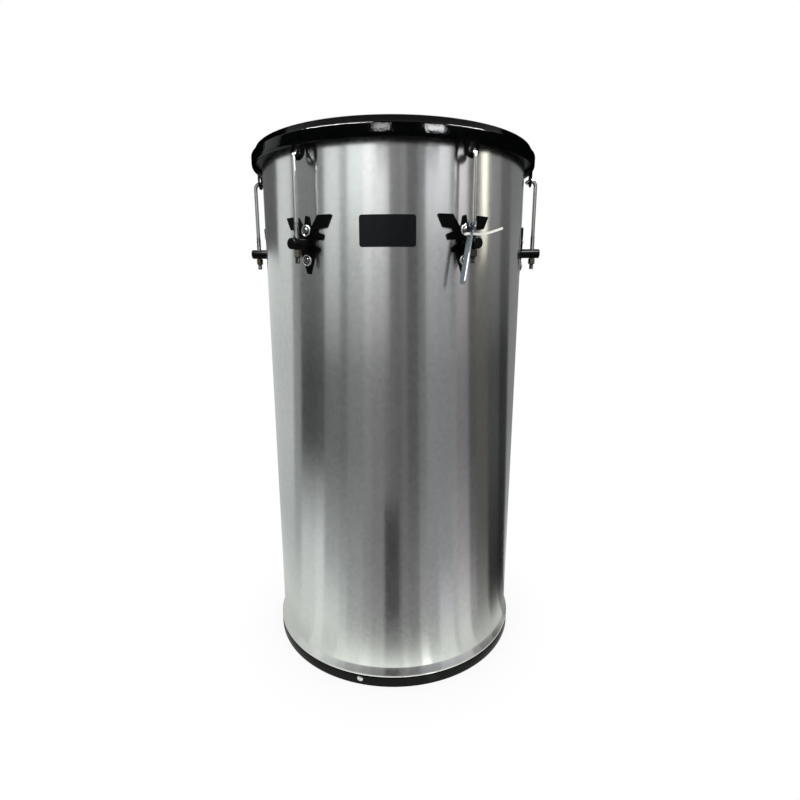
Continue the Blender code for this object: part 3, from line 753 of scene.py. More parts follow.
@dataclass
class Shell:
    """Tube, its stiffening hem and the foot ring with its rivets."""

    radius: float = 177.8
    wall: float = 1.5
    roll: float = 4.0
    roll_turn: float = 150.0
    hem_height: float = 11.9
    hem_proud: float = 4.8
    hem_gap: float = 0.3
    segments: int = 256
    ring_leg: float = 4.5
    ring_inner_leg: float = 2.0
    ring_floor: float = 3.5
    ring_inner_height: float = 13.3
    ring_edge: float = 1.6
    rivet_turn: float = -11.2
    rivet_count: int = 3
    rivet_height: float = 9.4

    def build(self) -> None:
        """Make the tube, the ring and the rivets."""
        add_piece("shell_tube", self.tube(), ALUMINIUM, Body.SHELL.value, ["shell"], sharp=35.0)
        add_piece("foot_ring_band", self.ring(), EDGE_BLACK, Body.SHELL.value, ["foot_ring"])
        rivet = self.rivet()
        for i in range(self.rivet_count):
            turn = self.rivet_turn + 360.0 * i / self.rivet_count
            add_piece(f"blind_rivet_{i + 1}", rivet, RIVET_STEEL, Body.SHELL.value,
                      [f"foot_rivet_{i + 1}"], turn=turn)

    def tube(self) -> bpy.types.Mesh:
        """Tube with its turned-in bearing edge and its flared hem."""
        foot = low("shell").z
        top = high("shell").z
        hem = high("foot_ring").z + self.hem_gap
        hem_top = hem + self.hem_height
        lip = self.radius + self.hem_proud
        outer = [(self.radius, foot), (self.radius, hem), (lip - 0.5, hem + 0.1), (lip, hem + 0.5), (lip, hem + 1.7)]
        for i in range(1, 9):
            t = i / 8.0
            outer.append((self.radius + self.hem_proud * (1.0 - t) ** 1.15, hem + 1.7 + (self.hem_height - 1.7) * t))
        edge = (self.radius - self.roll, top - self.roll)
        rim = arc(edge, self.roll, 0.0, self.roll_turn, 14)
        under = arc(edge, self.roll - self.wall, self.roll_turn, 0.0, 12)
        inner = self.radius - self.wall
        back = [(inner, hem_top), (inner + self.hem_proud * 0.45, hem + self.wall + 1.2),
                (inner, hem + self.wall), (inner, foot)]
        return turned(outer + rim + under + back, self.segments, "shell tube")

    def ring(self) -> bpy.types.Mesh:
        """Channel over the tube's lower edge, with round outer corners."""
        outer = self.radius + GAP + self.ring_leg
        top = high("foot_ring").z
        inner = self.radius - self.wall - GAP - self.ring_inner_leg
        e = self.ring_edge
        profile = [(inner, 0.4), (inner + 0.4, 0.0)]
        profile += arc((outer - e, e), e, -90.0, 0.0, 6) + arc((outer - e, top - e), e, 0.0, 90.0, 6)
        profile += [(self.radius + GAP, top), (self.radius + GAP, self.ring_floor),
                    (self.radius - self.wall - GAP, self.ring_floor)]
        profile += [(self.radius - self.wall - GAP, self.ring_inner_height), (inner, self.ring_inner_height)]
        return turned(profile, self.segments, "foot ring band")

    def rivet(self) -> bpy.types.Mesh:
        """Blind rivet with its domed head, the mandrel's dimple and the set bulb."""
        face = self.radius + GAP + self.ring_leg + GAP
        back = self.radius - self.wall - 2.0 * GAP - self.ring_inner_leg
        dome = arc((0.0, face - 4.4), 5.9, 78.0, 48.5, 8)
        profile = [(0.0, face + 0.75), (1.05, face + 0.75)] + dome + [(3.95, face + 0.1), (3.9, face)]
        profile += [(2.0, face), (2.0, back), (3.2, back - 0.8), (2.4, back - 2.2), (0.0, back - 2.6)]
        mesh = turned(profile, 28, "blind rivet")
        mesh.transform(out_at(0.0, self.rivet_height))
        return mesh


@dataclass
class Rim:
    """Head, hoop and the hoop's ears."""

    shell_radius: float = 177.8
    roll: float = 4.0
    skin: float = 0.8
    bead: float = 3.2
    bead_room: float = 0.4
    flesh_width: float = 6.4
    flesh_corner: float = 1.4
    hoop_room: float = 1.7
    sheet: float = 2.2
    depth: float = 23.1
    lip: float = 4.5
    lip_turn: float = 68.0
    shoulder_drop: float = 8.0
    ear_width: float = 18.0
    ear_sheet: float = 1.7
    ear_hole_width: float = 9.6
    ear_hole_height: float = 10.6
    ear_hole_drop: float = 0.4
    ear_rim: float = 5.0
    segments: int = 256

    def build(self, turns: Sequence[float]) -> list[bpy.types.Object]:
        """Make the head, the hoop and one ear at each station.

        Args:
            turns: Angles of the stations.

        Returns:
            The hoop's band and ears.
        """
        head = add_piece("coated_head", self.head(), HEAD_FILM, "", ["head"])
        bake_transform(head)
        pieces = [add_piece("hoop_band", self.band(), HOOP_ENAMEL, Body.HOOP.value, ["hoop"],
                            sharp=50.0)]
        ear = self.ear()
        for i, turn in enumerate(turns):
            pieces.append(add_piece(f"hoop_ear_{i + 1}", ear, EAR_ENAMEL, Body.HOOP.value, turn=turn,
                                    bevel=0.5))
        dress("flesh_hoop", BARE_ALLOY)
        return pieces

    def collar(self) -> float:
        """Outer radius of the skin on its way down the shell."""
        return self.shell_radius + GAP + self.skin

    def wall(self) -> float:
        """Outer radius of the hoop's wall."""
        return self.collar() + GAP + self.flesh_width + GAP + self.skin + self.hoop_room + self.sheet

    def head(self) -> bpy.types.Mesh:
        """Film over the bearing edge, down the collar and lapped under the flesh hoop."""
        top = high("head").z
        edge = (self.shell_radius - self.roll, top - self.skin - GAP - self.roll)
        flesh_low = low("flesh_hoop").z
        flesh_top = high("flesh_hoop").z
        outer = self.collar() + GAP + self.flesh_width + GAP
        inner = self.collar() - self.skin
        bend = self.flesh_corner + GAP
        under = flesh_low - GAP - self.skin
        profile = [(0.0, top - self.skin)] + arc(edge, self.roll + GAP, 90.0, 0.0, 8)
        profile += [(inner, under), (outer + self.skin - bend, under), (outer + self.skin - 0.5, under + 0.6),
                    (outer + self.skin, under + bend), (outer + self.skin, flesh_top - self.flesh_corner),
                    (outer, flesh_top - self.flesh_corner), (outer, flesh_low - GAP + bend * 0.6),
                    (outer - bend * 0.6, flesh_low - GAP), (self.collar(), flesh_low - GAP)]
        profile += arc(edge, self.roll + GAP + self.skin, 0.0, 90.0, 8) + [(0.0, top)]
        return turned(profile, self.segments, "coated head")

    def band(self) -> bpy.types.Mesh:
        """Pressed band: curled lip, upright wall, round shoulder and rolled bead."""
        top = high("hoop").z
        wall = self.wall()
        foot = top - self.depth
        lip = (wall - self.lip, foot + self.lip)
        bead = (self.collar() + self.bead_room + self.bead, top - self.bead)
        shoulder = top - self.shoulder_drop
        outer = arc(lip, self.lip, -self.lip_turn, 0.0, 12)
        outer += [(wall, shoulder - 2.2)] + arc((wall - 2.2, shoulder - 2.2), 2.2, 10.0, 64.0, 6)
        outer += [(wall - 2.6, shoulder + 0.9)]
        crown = arc(bead, self.bead, 38.0, 270.0, 22)
        under = top - 2.0 * self.bead
        inner = [(wall - self.sheet - 2.0, under), (wall - self.sheet - 0.6, under - 0.6),
                 (wall - self.sheet, under - 2.0)]
        inner += arc(lip, self.lip - self.sheet, 0.0, -self.lip_turn, 8)
        return turned(outer + crown + inner, self.segments, "hoop band")

    def ear(self) -> bpy.types.Mesh:
        """Drilled tab under the wall that one hook grips."""
        foot = high("hoop").z - self.depth
        back = self.wall() - 0.45 - self.ear_sheet
        half = self.ear_width / 2.0
        hole_top = foot - self.ear_hole_drop
        hole_low = hole_top - self.ear_hole_height
        tip = hole_low - self.ear_rim
        root = foot + self.lip + 2.0
        outline = [(half, root)] + arc((0.0, tip + half), half, 0.0, -180.0, 20) + [(-half, root)]
        tab = rolled_plate(outline, back, self.ear_sheet, 2.0, "hoop ear")
        reach = self.ear_hole_width / 2.0
        slot = arc((0.0, hole_low + reach), reach, 180.0, 360.0, 16)
        slot += arc((reach * 0.8 - 1.0, hole_top - 1.0), 1.0, 20.0, 90.0, 3)
        slot += arc((1.0 - reach * 0.8, hole_top - 1.0), 1.0, 90.0, 160.0, 3)
        punch = flat_plate(slot, 4.0 * self.ear_sheet, "punch")
        punch.transform(Matrix.Translation((0.0, -back * MM, 0.0)))
        return cut(tab, punch)


@dataclass
class Station:
    """One tuning point: winged bracket, post, hook rod, nut and two screws."""

    shell_radius: float = 177.8
    plate: float = 2.2
    standoff: float = 18.7
    rod: float = 2.5
    thread: float = 2.9
    thread_depth: float = 0.32
    thread_pitch: float = 1.0
    thread_length: float = 44.0
    bend: float = 6.8
    bend_turn: float = 150.0
    post: float = 6.25
    post_edge: float = 1.4
    spigot: float = 4.0
    clearance: float = 0.45
    nut_across: float = 8.0
    screw_rise: float = 15.6
    screw_drop: float = 17.0
    screw: float = 2.4
    screw_head: float = 4.4
    washer: float = 6.6

    def build(self, turns: Sequence[float]) -> list[bpy.types.Object]:
        """Make each piece once and set a copy of it at every station.

        Args:
            turns: Angles of the stations.

        Returns:
            The posts, rods and screws.
        """
        shiny = []
        self.middle = (low("post_1").z + high("post_1").z) / 2.0
        self.circle = self.shell_radius + self.standoff
        parts = {"bracket": (self.bracket_mesh(), POWDER_COAT, Body.SHELL.value, "black_powder_coat", 0.35),
                 "post": (self.post_mesh(), POST_BLACK, Body.SHELL.value, "black_powder_coat", 0.0),
                 "hook_rod": (self.rod_mesh(), ROD_ZINC, Body.HOOP.value, "bright_steel", 0.0)}
        screw = self.screw_mesh()
        nut = self.nut_mesh()
        for i, turn in enumerate(turns):
            n = i + 1
            for name, (mesh, finish, body, slot, bevel) in parts.items():
                piece = add_piece(f"station_{name}_{n}", mesh, finish, body, [f"{name}_{n}"], turn=turn,
                                  bevel=bevel)
                if name != "bracket":
                    shiny.append(piece)
            add_piece(f"station_nut_{n}", nut, NUT_ZINC, f"nut_{n}", [f"tuning_nut_{n}"], turn=turn)
            for side, offset in (("upper", self.screw_rise), ("lower", -self.screw_drop)):
                place = Matrix.Rotation(math.radians(turn), 4, "Z") @ Matrix.Translation((0.0, 0.0, offset * MM))
                shiny.append(add_piece(f"station_screw_{side}_{n}", screw, SCREW_CHROME, Body.SHELL.value,
                                       [f"screw_{side}_{n}"], matrix=place))
                dress(f"inner_nut_{side}_{n}", RIVET_STEEL)
        return shiny

    def bracket_mesh(self) -> bpy.types.Mesh:
        """Winged plate with eased corners, rolled to the shell."""
        half = [(1.5, 31.9), (3.4, 21.5), (5.6, 17.6), (15.7, 32.0), (33.7, 31.8), (26.8, 18.0), (14.3, 16.6),
                (13.8, 14.2), (22.8, 10.8), (20.7, 4.7), (9.6, 5.7), (9.2, 1.4), (16.7, -3.4), (14.8, -8.9),
                (9.4, -9.6), (1.1, -32.2)]
        outline = [(x, self.middle + z) for x, z in half]
        outline += [(-x, z) for x, z in reversed(outline)]
        back = self.shell_radius + GAP
        plate = rolled_plate(rounded(outline, 1.3), back, self.plate, 4.0, "bracket")
        for offset in (self.screw_rise, -self.screw_drop):
            plate = cut(plate, cylinder(self.screw + 0.4, 12.0, out_at(back, self.middle + offset)))
        return cut(plate, cylinder(self.spigot + GAP, 12.0, out_at(back, self.middle)))

    def post_mesh(self) -> bpy.types.Mesh:
        """Round post with an eased end and the rod's cross hole."""
        end = self.shell_radius + 28.8
        back = self.shell_radius + GAP + self.plate + GAP
        e = self.post_edge
        profile = [(0.0, end)] + arc((self.post - e, end - e), e, 90.0, 0.0, 5)
        profile += [(self.post, back + 0.3), (self.post - 0.3, back), (self.spigot, back),
                    (self.spigot, self.shell_radius + 2.0 * GAP), (0.0, self.shell_radius + 2.0 * GAP)]
        mesh = turned(profile, 40, "post")
        mesh.transform(out_at(0.0, self.middle))
        place = Matrix.Translation((0.0, -self.circle * MM, self.middle * MM))
        return cut(mesh, cylinder(self.thread + self.clearance, 4.0 * self.post, place))

    def rod_mesh(self) -> bpy.types.Mesh:
        """Rod with a rolled thread, a plain shank and its hook."""
        foot = low("hook_rod_1").z
        sides = 24
        steps = 5
        rows = int(self.thread_length / self.thread_pitch) * steps
        hook = high("hook_rod_1").z - self.rod - self.bend
        bend = arc((self.circle - self.bend, hook), self.bend, 0.0, self.bend_turn, 18)
        path = [(self.circle, foot + self.thread_pitch * i / steps) for i in range(rows + 1)]
        path += [(self.circle, path[-1][1] + 0.8)] + bend
        bm = bmesh.new()
        rings = []
        for i, (out, height) in enumerate(path):
            before = path[max(i - 1, 0)]
            after = path[min(i + 1, len(path) - 1)]
            heading = math.atan2(after[1] - before[1], after[0] - before[0])
            ring = []
            for k in range(sides):
                turn = 2.0 * math.pi * k / sides
                radius = self.rod
                if i <= rows:
                    phase = (i / steps - k / sides) % 1.0
                    fade = min(1.0, i / steps, (rows - i) / steps)
                    crest = self.thread - self.thread_depth * 2.0 * abs(phase - 0.5)
                    radius = crest * fade + (self.thread - self.thread_depth) * (1.0 - fade)
                across = radius * math.sin(turn)
                aside = radius * math.cos(turn)
                ring.append(bm.verts.new((across * MM, -(out + aside * math.sin(heading)) * MM,
                                          (height - aside * math.cos(heading)) * MM)))
            rings.append(ring)
        for one, two in zip(rings, rings[1:]):
            for k in range(sides):
                bm.faces.new((one[k], one[(k + 1) % sides], two[(k + 1) % sides], two[k]))
        bm.faces.new(rings[0])
        bm.faces.new(rings[-1])
        return closed_mesh(bm, "hook rod")

    def nut_mesh(self) -> bpy.types.Mesh:
        """Hexagon nut with coned corners and a plain bore, on its rod."""
        foot = low("tuning_nut_1").z
        top = high("tuning_nut_1").z
        corner = self.nut_across / 2.0 / math.cos(math.pi / 6.0)
        body = cylinder(corner, top - foot, Matrix.Translation((0.0, 0.0, (top + foot) / 2.0 * MM)), 6)
        face = self.nut_across / 2.0 * 0.97
        slope = (corner - face) * 0.6
        cone = turned([(0.0, foot), (face, foot), (corner + 0.05, foot + slope), (corner + 0.05, top - slope),
                       (face, top), (0.0, top)], 48, "cone")
        body.name = "tuning nut"
        nut = cut(body, cone, "INTERSECT")
        nut = cut(nut, cylinder(self.thread + GAP, 40.0, Matrix.Translation((0.0, 0.0, foot * MM))))
        nut.transform(Matrix.Translation((0.0, -self.circle * MM, 0.0)))
        return nut

    def screw_mesh(self) -> bpy.types.Mesh:
        """Dished washer and domed head in one, with a cross recess and the shank behind."""
        seat = self.shell_radius + GAP + self.plate + GAP
        rim = self.washer
        profile = [(0.0, seat + 3.1)] + arc((0.0, seat - 1.9), 5.1, 84.0, 52.0, 6)
        profile += [(self.screw_head - 0.5, seat + 1.2), (self.screw_head - 0.3, seat + 0.7)]
        profile += arc((rim - 1.1, seat + 0.75), 0.95, 160.0, 0.0, 8) + [(rim - 0.05, seat)]
        back = self.shell_radius - 7.4
        profile += [(self.screw, seat), (self.screw, back + 0.6), (0.0, back)]
        mesh = turned(profile, 36, "bracket screw")
        mesh.transform(out_at(0.0, self.middle))
        for turn in (0.0, 90.0):
            slot = cylinder(1.55, 2.6, out_at(seat + 3.4, self.middle) @ Matrix.Rotation(math.radians(turn), 4, "Z")
                            @ Matrix.Diagonal((1.0, 0.36, 1.0, 1.0)), 16)
            mesh = cut(mesh, slot)
        return mesh


@dataclass
class Label:
    """Bare black plate between the two front stations."""

    shell_radius: float = 177.8
    width: float = 63.0
    sheet: float = 0.4
    corner: float = 3.0
    turn: float = 1.3

    def build(self) -> None:
        """Make the plate, rolled to the shell."""
        foot = low("label").z
        top = high("label").z
        half = self.width / 2.0
        corners = [(half, top), (-half, top), (-half, foot), (half, foot)]
        outline = []
        for (x, z), start in zip(corners, (0.0, 90.0, 180.0, 270.0)):
            centre = (x - math.copysign(self.corner, x), z - (self.corner if z == top else -self.corner))
            outline += arc(centre, self.corner, start, start + 90.0, 6)
        mesh = rolled_plate(outline, self.shell_radius + GAP, self.sheet, 3.0, "label plate")
        add_piece("label_plate", mesh, PLATE_BLACK, Body.SHELL.value, ["label"], turn=self.turn,
                  bevel=0.12)


@dataclass
class TiedKey:
    """Flat tuning key and the cable tie that holds it to the front right rod."""

    station: float = 30.0
    circle: float = 196.5
    lean: float = 9.5
    sheet: float = 2.3
    width: float = 8.6
    drop: float = 54.5
    head: float = 7.4
    head_rise: float = 9.5
    jaw_rise: float = 6.0
    jaw_depth: float = 2.0
    jaw: float = 4.15
    hole: float = 2.8
    hole_drop: float = 1.05
    tie_width: float = 2.6
    tie_sheet: float = 1.2
    tie_right: float = 5.0
    tie_pull: float = 1.5
    lock: tuple[float, float, float] = (4.6, 4.6, 4.2)
    tail_length: float = 26.0
    tail_rise: float = 8.0

    def build(self) -> bpy.types.Object:
        """Make the key, and the tie's loop, lock and tail.

        Returns:
            The key.
        """
        joint = next(j for j in frame["joints"] if j["name"] == "key_swing")
        self.pivot = Vector(joint["pos_m"]) / MM
        turn = Matrix.Rotation(math.radians(self.station), 4, "Z")
        local = turn.inverted() @ self.pivot
        self.across = local.x
        self.bend = -local.y - self.circle
        place = Matrix.Translation(self.pivot * MM) @ turn @ Matrix.Rotation(math.radians(self.lean), 4, "Y")
        key = add_piece("flat_key", self.key_mesh(), KEY_PLATE, Body.KEY.value, ["tuning_key"],
                        matrix=place, bevel=0.3)
        body = Body.SHELL.value
        add_piece("tie_loop", self.loop_mesh(), NYLON, body, ["cable_tie"], turn=self.station)
        add_piece("tie_lock", self.lock_mesh(), NYLON, body, turn=self.station, bevel=0.6)
        add_piece("tie_tail", self.tail_mesh(), NYLON, body, turn=self.station)
        return key

    def key_mesh(self) -> bpy.types.Mesh:
        """Flat open key in the plane that points out from the shell."""
        half = self.width / 2.0
        top = self.head_rise + self.jaw_rise
        neck = math.degrees(math.asin(half / self.head))
        right = arc((0.0, half - self.drop), half, 270.0, 360.0, 10)
        right += arc((0.0, self.head_rise), self.head, neck - 90.0, 45.0, 18)
        right += [(self.jaw + 0.2, top), (self.jaw, top - 0.3), (self.jaw, self.head_rise + self.jaw_depth / 4.0),
                  (self.jaw / 2.0, self.head_rise - self.jaw_depth)]
        left = [(-out, height) for out, height in reversed(right[1:])]
        blank = flat_plate(right + left, self.sheet, "flat key")
        punch = cylinder(self.hole, 3.0 * self.sheet, Matrix.Translation((0.0, 0.0, -self.hole_drop * MM))
                         @ Matrix.Rotation(math.pi / 2.0, 4, "X"))
        key = cut(blank, punch)
        key.transform(Matrix.Rotation(-math.pi / 2.0, 4, "Z"))
        return key

    def section(self) -> list[Point]:
        """Band section with its corners eased."""
        w = self.tie_width / 2.0
        s = self.tie_sheet / 2.0
        return rounded([(s, w), (-s, w), (-s, -w), (s, -w)], 0.4, 2)

    def loop_mesh(self) -> bpy.types.Mesh:
        """Loop round the rod and through the key."""
        left = self.across - self.sheet / 2.0 + self.tie_pull
        loop = arc((self.tie_right, self.circle), self.bend, -90.0, 90.0, 16)
        loop += arc((left, self.circle), self.bend, 90.0, 270.0, 16)
        path = [Vector((x, -out, self.pivot.z)) for x, out in loop]
        return swept(path, self.section(), True, "tie loop")

    def lock_middle(self) -> float:
        """Sideways place of the lock's middle."""
        return self.tie_right + self.bend + self.lock[0] / 2.0 - self.tie_sheet / 2.0

    def lock_mesh(self) -> bpy.types.Mesh:
        """Lock box with the slot that the tail comes out of."""
        bm = bmesh.new()
        place = Matrix.Translation((self.lock_middle() * MM, -self.circle * MM, self.pivot.z * MM))
        bmesh.ops.create_cube(bm, size=1.0, matrix=place @ Matrix.Diagonal([v * MM for v in self.lock] + [1.0]))
        for face in list(bm.faces):
            if face.normal.x > 0.9:
                bmesh.ops.inset_region(bm, faces=[face], thickness=0.9 * MM)
                bmesh.ops.translate(bm, vec=(-0.8 * MM, 0.0, 0.0), verts=face.verts)
        return closed_mesh(bm, "tie lock")

    def tail_mesh(self) -> bpy.types.Mesh:
        """Long tail that was left uncut."""
        steps = 18
        path = []
        for i in range(steps + 1):
            t = i / steps
            path.append(Vector((self.lock_middle() + self.tail_length * t, -self.circle - self.bend * t * t,
                                self.pivot.z + self.tail_rise * t * (0.8 + 0.2 * t))))
        return swept(path, self.section(), False, "tie tail")


class Surface(Enum):
    """Kinds of surface in the room round the drum.

    Each has its glow on the floor before it, at the foot, low down, at half height, under the hoop
    and at the hoop.
    """

    WALL = (0.75, 0.7, 0.55, 0.6, 0.75, 0.8)
    JAMB = (0.75, 0.7, 0.45, 0.3, 0.3, 0.25)
    DOORWAY = (0.8, 0.8, 0.7, 0.08, 0.2, 0.25)
    WINDOW = (0.75, 0.92, 0.45, 0.18, 0.75, 1.0)
    BAY = (0.9, 0.5, 0.34, 0.22, 0.6, 1.15)
    BLIND = (0.68, 0.45, 0.32, 0.27, 0.5, 1.0)
    SHUTTER = (0.85, 0.74, 0.34, 0.26, 0.46, 1.0)
    PANE = (0.8, 0.34, 0.24, 0.22, 0.7, 1.2)
    FRAME = (0.9, 0.7, 0.38, 0.16, 0.35, 0.6)
    SASH = (0.85, 0.72, 0.37, 0.22, 0.5, 0.95)
    CURTAIN = (0.45, 0.26, 0.13, 0.12, 0.22, 0.26)
    DRAPE = (0.4, 0.42, 0.16, 0.1, 0.14, 0.15)
    CORNER = (0.12, 0.03, 0.05, 0.08, 0.24, 0.3)
    PERSON = (0.6, 0.24, 0.18, 0.15, 0.22, 0.28)
    SLEEVE = (0.55, 0.24, 0.18, 0.11, 0.12, 0.16)
    LEGS = (0.45, 0.07, 0.06, 0.1, 0.1, 0.1)
    LAMP = (1.0, 1.0, 1.0, 1.0, 1.0, 1.0)


@dataclass(frozen=True)
class Panel:
    """Upright studio panel, and the floor before it, that only show in reflections.

    Angles are in degrees, as seen from the camera's side of the drum.
    """

    name: str
    start: float
    end: float
    surface: Surface
    gain: float = 1.0
    tint: Colour = (1.0, 1.0, 1.0)
    radius: float = 380.0
    foot: float = 0.0
    head: float = 1000.0
    in_hoop: bool = False


@dataclass
class Studio:
    """Camera, floor, lamps and the panels round the drum."""

    turn: float = 2.85
    focal: float = 505.77
    picture: float = 800.0
    sensor: float = 36.0
    camera: tuple[float, float, float] = (46.5, -755.6, 516.5)
    pitch: float = 12.34
    floor_size: float = 12.0
    sky: float = 0.5
    floor_inner: float = 186.0
    levels_at: tuple[tuple[float, int], ...] = ((-75.0, 0), (0.0, 1), (120.0, 2), (290.0, 3), (420.0, 3),
                                                (600.0, 4), (690.0, 5))
    near_floor: float = 0.65
    front_floor: float = 0.6
    near_floor_at: float = -145.0
    wall_radius: float = 380.0
    lean: float = 0.23
    floor_lean: float = 0.7
    straight: float = 140.0
    floor_tint: Colour = (0.97, 1.0, 0.94)
    span: Point = (-200.0, 1000.0)
    brightest: float = 2.0

    def build(self) -> None:
        """Make everything that isn't the drum."""
        self.set_camera()
        self.set_world()
        self.set_floor()
        self.set_lamps()
        self.room = []
        for panel in self.panels():
            piece = self.set_panel(panel)
            if not panel.in_hoop:
                self.room.append(piece)
        self.set_disc("ceiling", 400.0, 1000.0, (0.2, 0.2, 0.2))
        bpy.context.scene.view_settings.view_transform = "Standard"

    def set_camera(self) -> None:
        """Camera at the photograph's place."""
        data = bpy.data.cameras.new("camera")
        data.sensor_width = self.sensor
        data.lens = self.focal / self.picture * self.sensor
        data.clip_start = 0.01
        camera = bpy.data.objects.new("camera", data)
        bpy.context.scene.collection.objects.link(camera)
        camera.location = Vector(self.camera) * MM
        camera.rotation_euler = (math.radians(90.0 - self.pitch), 0.0, math.radians(self.turn))
        bpy.context.scene.camera = camera

    @staticmethod
    def seen(graph: Graph) -> Socket:
        """One on camera, mirror and glass rays, else zero."""
        path = graph.node("ShaderNodeLightPath")
        direct = path.out("Is Camera Ray").largest(path.out("Is Glossy Ray"))
        return direct.largest(path.out("Is Transmission Ray"))

    def set_world(self) -> None:
        """White surround for the eye, softer for the light."""
        world = bpy.data.worlds.new("surround")
        world.use_nodes = True
        bpy.context.scene.world = world
        graph = Graph(world.node_tree)
        strength = self.sky + (1.0 - self.sky) * self.seen(graph)
        shader = graph.node("ShaderNodeBackground", {}, {"Color": (1.0, 1.0, 1.0), "Strength": strength})
        graph.node("ShaderNodeOutputWorld", {}, {"Surface": shader.out(0)})

    def set_floor(self) -> None:
        """Pale floor that turns into the white surround away from the drum."""
        floor = self.disc("floor", self.floor_size / MM, -0.5)
        material = bpy.data.materials.new("pale floor")
        material.use_nodes = True
        graph = Graph(material.node_tree)
        away = graph.node("ShaderNodeVectorMath", {"operation": "LENGTH"}, {0: graph.place()}).out("Value")
        fade = graph.ramp(away, [(0.16, 0.86), (0.26, 1.0)]) * self.seen(graph)
        paint = graph.node("ShaderNodeBsdfDiffuse", {}, {"Color": (0.95, 0.95, 0.95)}).out(0)
        white = graph.node("ShaderNodeEmission", {}, {"Color": (1.0, 1.0, 1.0), "Strength": 1.0}).out(0)
        mixed = graph.node("ShaderNodeMixShader", {}, {0: fade, 1: paint, 2: white})
        graph.node("ShaderNodeOutputMaterial", {}, {"Surface": mixed.out(0)})
        floor.data.materials.append(material)

    def set_lamps(self) -> None:
        """Four large soft lamps, kept out of mirror rays."""
        places = [("key", (-1.5, -2.0, 1.9), 1.6, 30.0), ("fill", (1.8, -1.8, 1.3), 1.6, 18.0),
                  ("top", (0.1, 0.3, 2.6), 2.0, 8.0), ("back", (0.4, 2.4, 1.6), 1.8, 16.0)]
        for name, where, size, power in places:
            data = bpy.data.lights.new(name, "AREA")
            data.shape = "DISK"
            data.size = size
            data.energy = power
            lamp = bpy.data.objects.new(name, data)
            bpy.context.scene.collection.objects.link(lamp)
            lamp.location = where
            aim = Vector((0.0, 0.0, 0.4)) - Vector(where)
            lamp.rotation_euler = aim.to_track_quat("-Z", "Y").to_euler()
            lamp.visible_glossy = False

    @staticmethod
    def panels() -> list[Panel]:
        """Walls, doorways and windows of the room that the shell mirrors."""
        warm = (1.0, 0.96, 0.88)
        yellow = (1.0, 0.96, 0.82)
        pink = (1.0, 0.96, 0.98)
        cool = (0.96, 1.0, 0.98)
        blue = (0.96, 0.97, 1.0)
        kind = Surface
        return [
            Panel("far_left_wall", -180.0, -128.0, kind.WALL, tint=cool),
            Panel("back_left_wall", -128.0, -86.0, kind.WALL, tint=cool, in_hoop=True),
            Panel("left_door_edge", -86.0, -76.0, kind.JAMB, tint=cool),
            Panel("left_doorway", -76.0, -60.0, kind.DOORWAY, tint=cool),
            Panel("left_door_side", -60.0, -52.0, kind.DOORWAY, 1.15, cool),
            Panel("left_window", -52.0, -39.0, kind.WINDOW, 0.95, cool),
            Panel("left_frame", -39.0, -33.0, kind.FRAME, tint=cool),
            Panel("middle_window", -33.0, -21.0, kind.BAY, tint=cool),
            Panel("middle_pane", -21.0, -15.0, kind.PANE, 1.12),
            Panel("middle_wall", -15.0, -6.0, kind.PANE, 0.97),
            Panel("middle_edge", -6.0, -2.5, kind.PANE, 0.8),
            Panel("person_legs", -6.0, 4.0, kind.LEGS, radius=330.0, head=230.0),
            Panel("person_left", -2.5, 2.0, kind.PERSON),
            Panel("person_middle", 2.0, 6.0, kind.PERSON, 0.9),
            Panel("person_arm", 6.0, 10.0, kind.PERSON, 1.1),
            Panel("person_right", 10.0, 18.0, kind.SLEEVE),
            Panel("right_wall", 18.0, 23.5, kind.SLEEVE, 1.7),
            Panel("right_window", 23.5, 32.0, kind.BLIND, tint=blue),
            Panel("right_shutter", 32.0, 43.0, kind.SHUTTER, tint=blue),
            Panel("right_frame", 43.0, 47.0, kind.JAMB, 0.85),
            Panel("right_pane", 47.0, 58.0, kind.SASH, tint=pink),
            Panel("right_curtain", 58.0, 65.0, kind.DRAPE, tint=pink),
            Panel("right_slit", 65.0, 79.0, kind.CURTAIN, 0.95, warm),
            Panel("right_gap", 71.5, 78.0, kind.PANE, 1.7, yellow, radius=376.0, foot=595.0),
            Panel("right_edge", 79.0, 95.0, kind.CORNER),
            Panel("right_doorway", 95.0, 112.0, kind.CORNER, 0.5),
            Panel("back_right_wall", 112.0, 150.0, kind.JAMB, 0.85, cool),
            Panel("back_wall", 150.0, 180.0, kind.WALL, 0.75, cool),
            Panel("left_shade", -150.0, -108.0, kind.DOORWAY, 0.5, radius=376.0, foot=590.0),
        ]

    @staticmethod
    def small_lamps() -> list[Panel]:
        """Lamps that glint in the hoop's paint and the hardware."""
        kind = Surface.LAMP
        return [
            Panel("lamp_left", -11.5, -1.7, kind, 20.0, radius=372.0, foot=725.0, head=753.0),
            Panel("lamp_right", 21.3, 33.7, kind, 45.0, (0.96, 0.97, 1.0), radius=372.0, foot=725.0, head=753.0),
            Panel("high_lamp_left", -80.0, -18.0, kind, 450.0, radius=370.0, foot=910.0, head=940.0),
            Panel("high_lamp_right", 47.0, 85.0, kind, 350.0, radius=370.0, foot=910.0, head=940.0),
        ]

    def leaned(self, angle: float, radius: float, height: float) -> float:
        """Angle of a panel's point, so that its upright edges stay upright in the shell.

        Args:
            angle: Angle at the panel's foot, in degrees.
            radius: Distance of the point from the drum's axis.
            height: Its height.

        Returns:
            The angle in the studio, in radians.
        """
        inwards = max(0.0, self.wall_radius - radius)
        share = 1.0 - self.lean * height / 1000.0 - self.floor_lean * inwards / 1000.0
        if abs(angle) > self.straight:
            share = 1.0 + (share - 1.0) * (180.0 - abs(angle)) / (180.0 - self.straight)
        return math.radians(angle * share + self.turn)

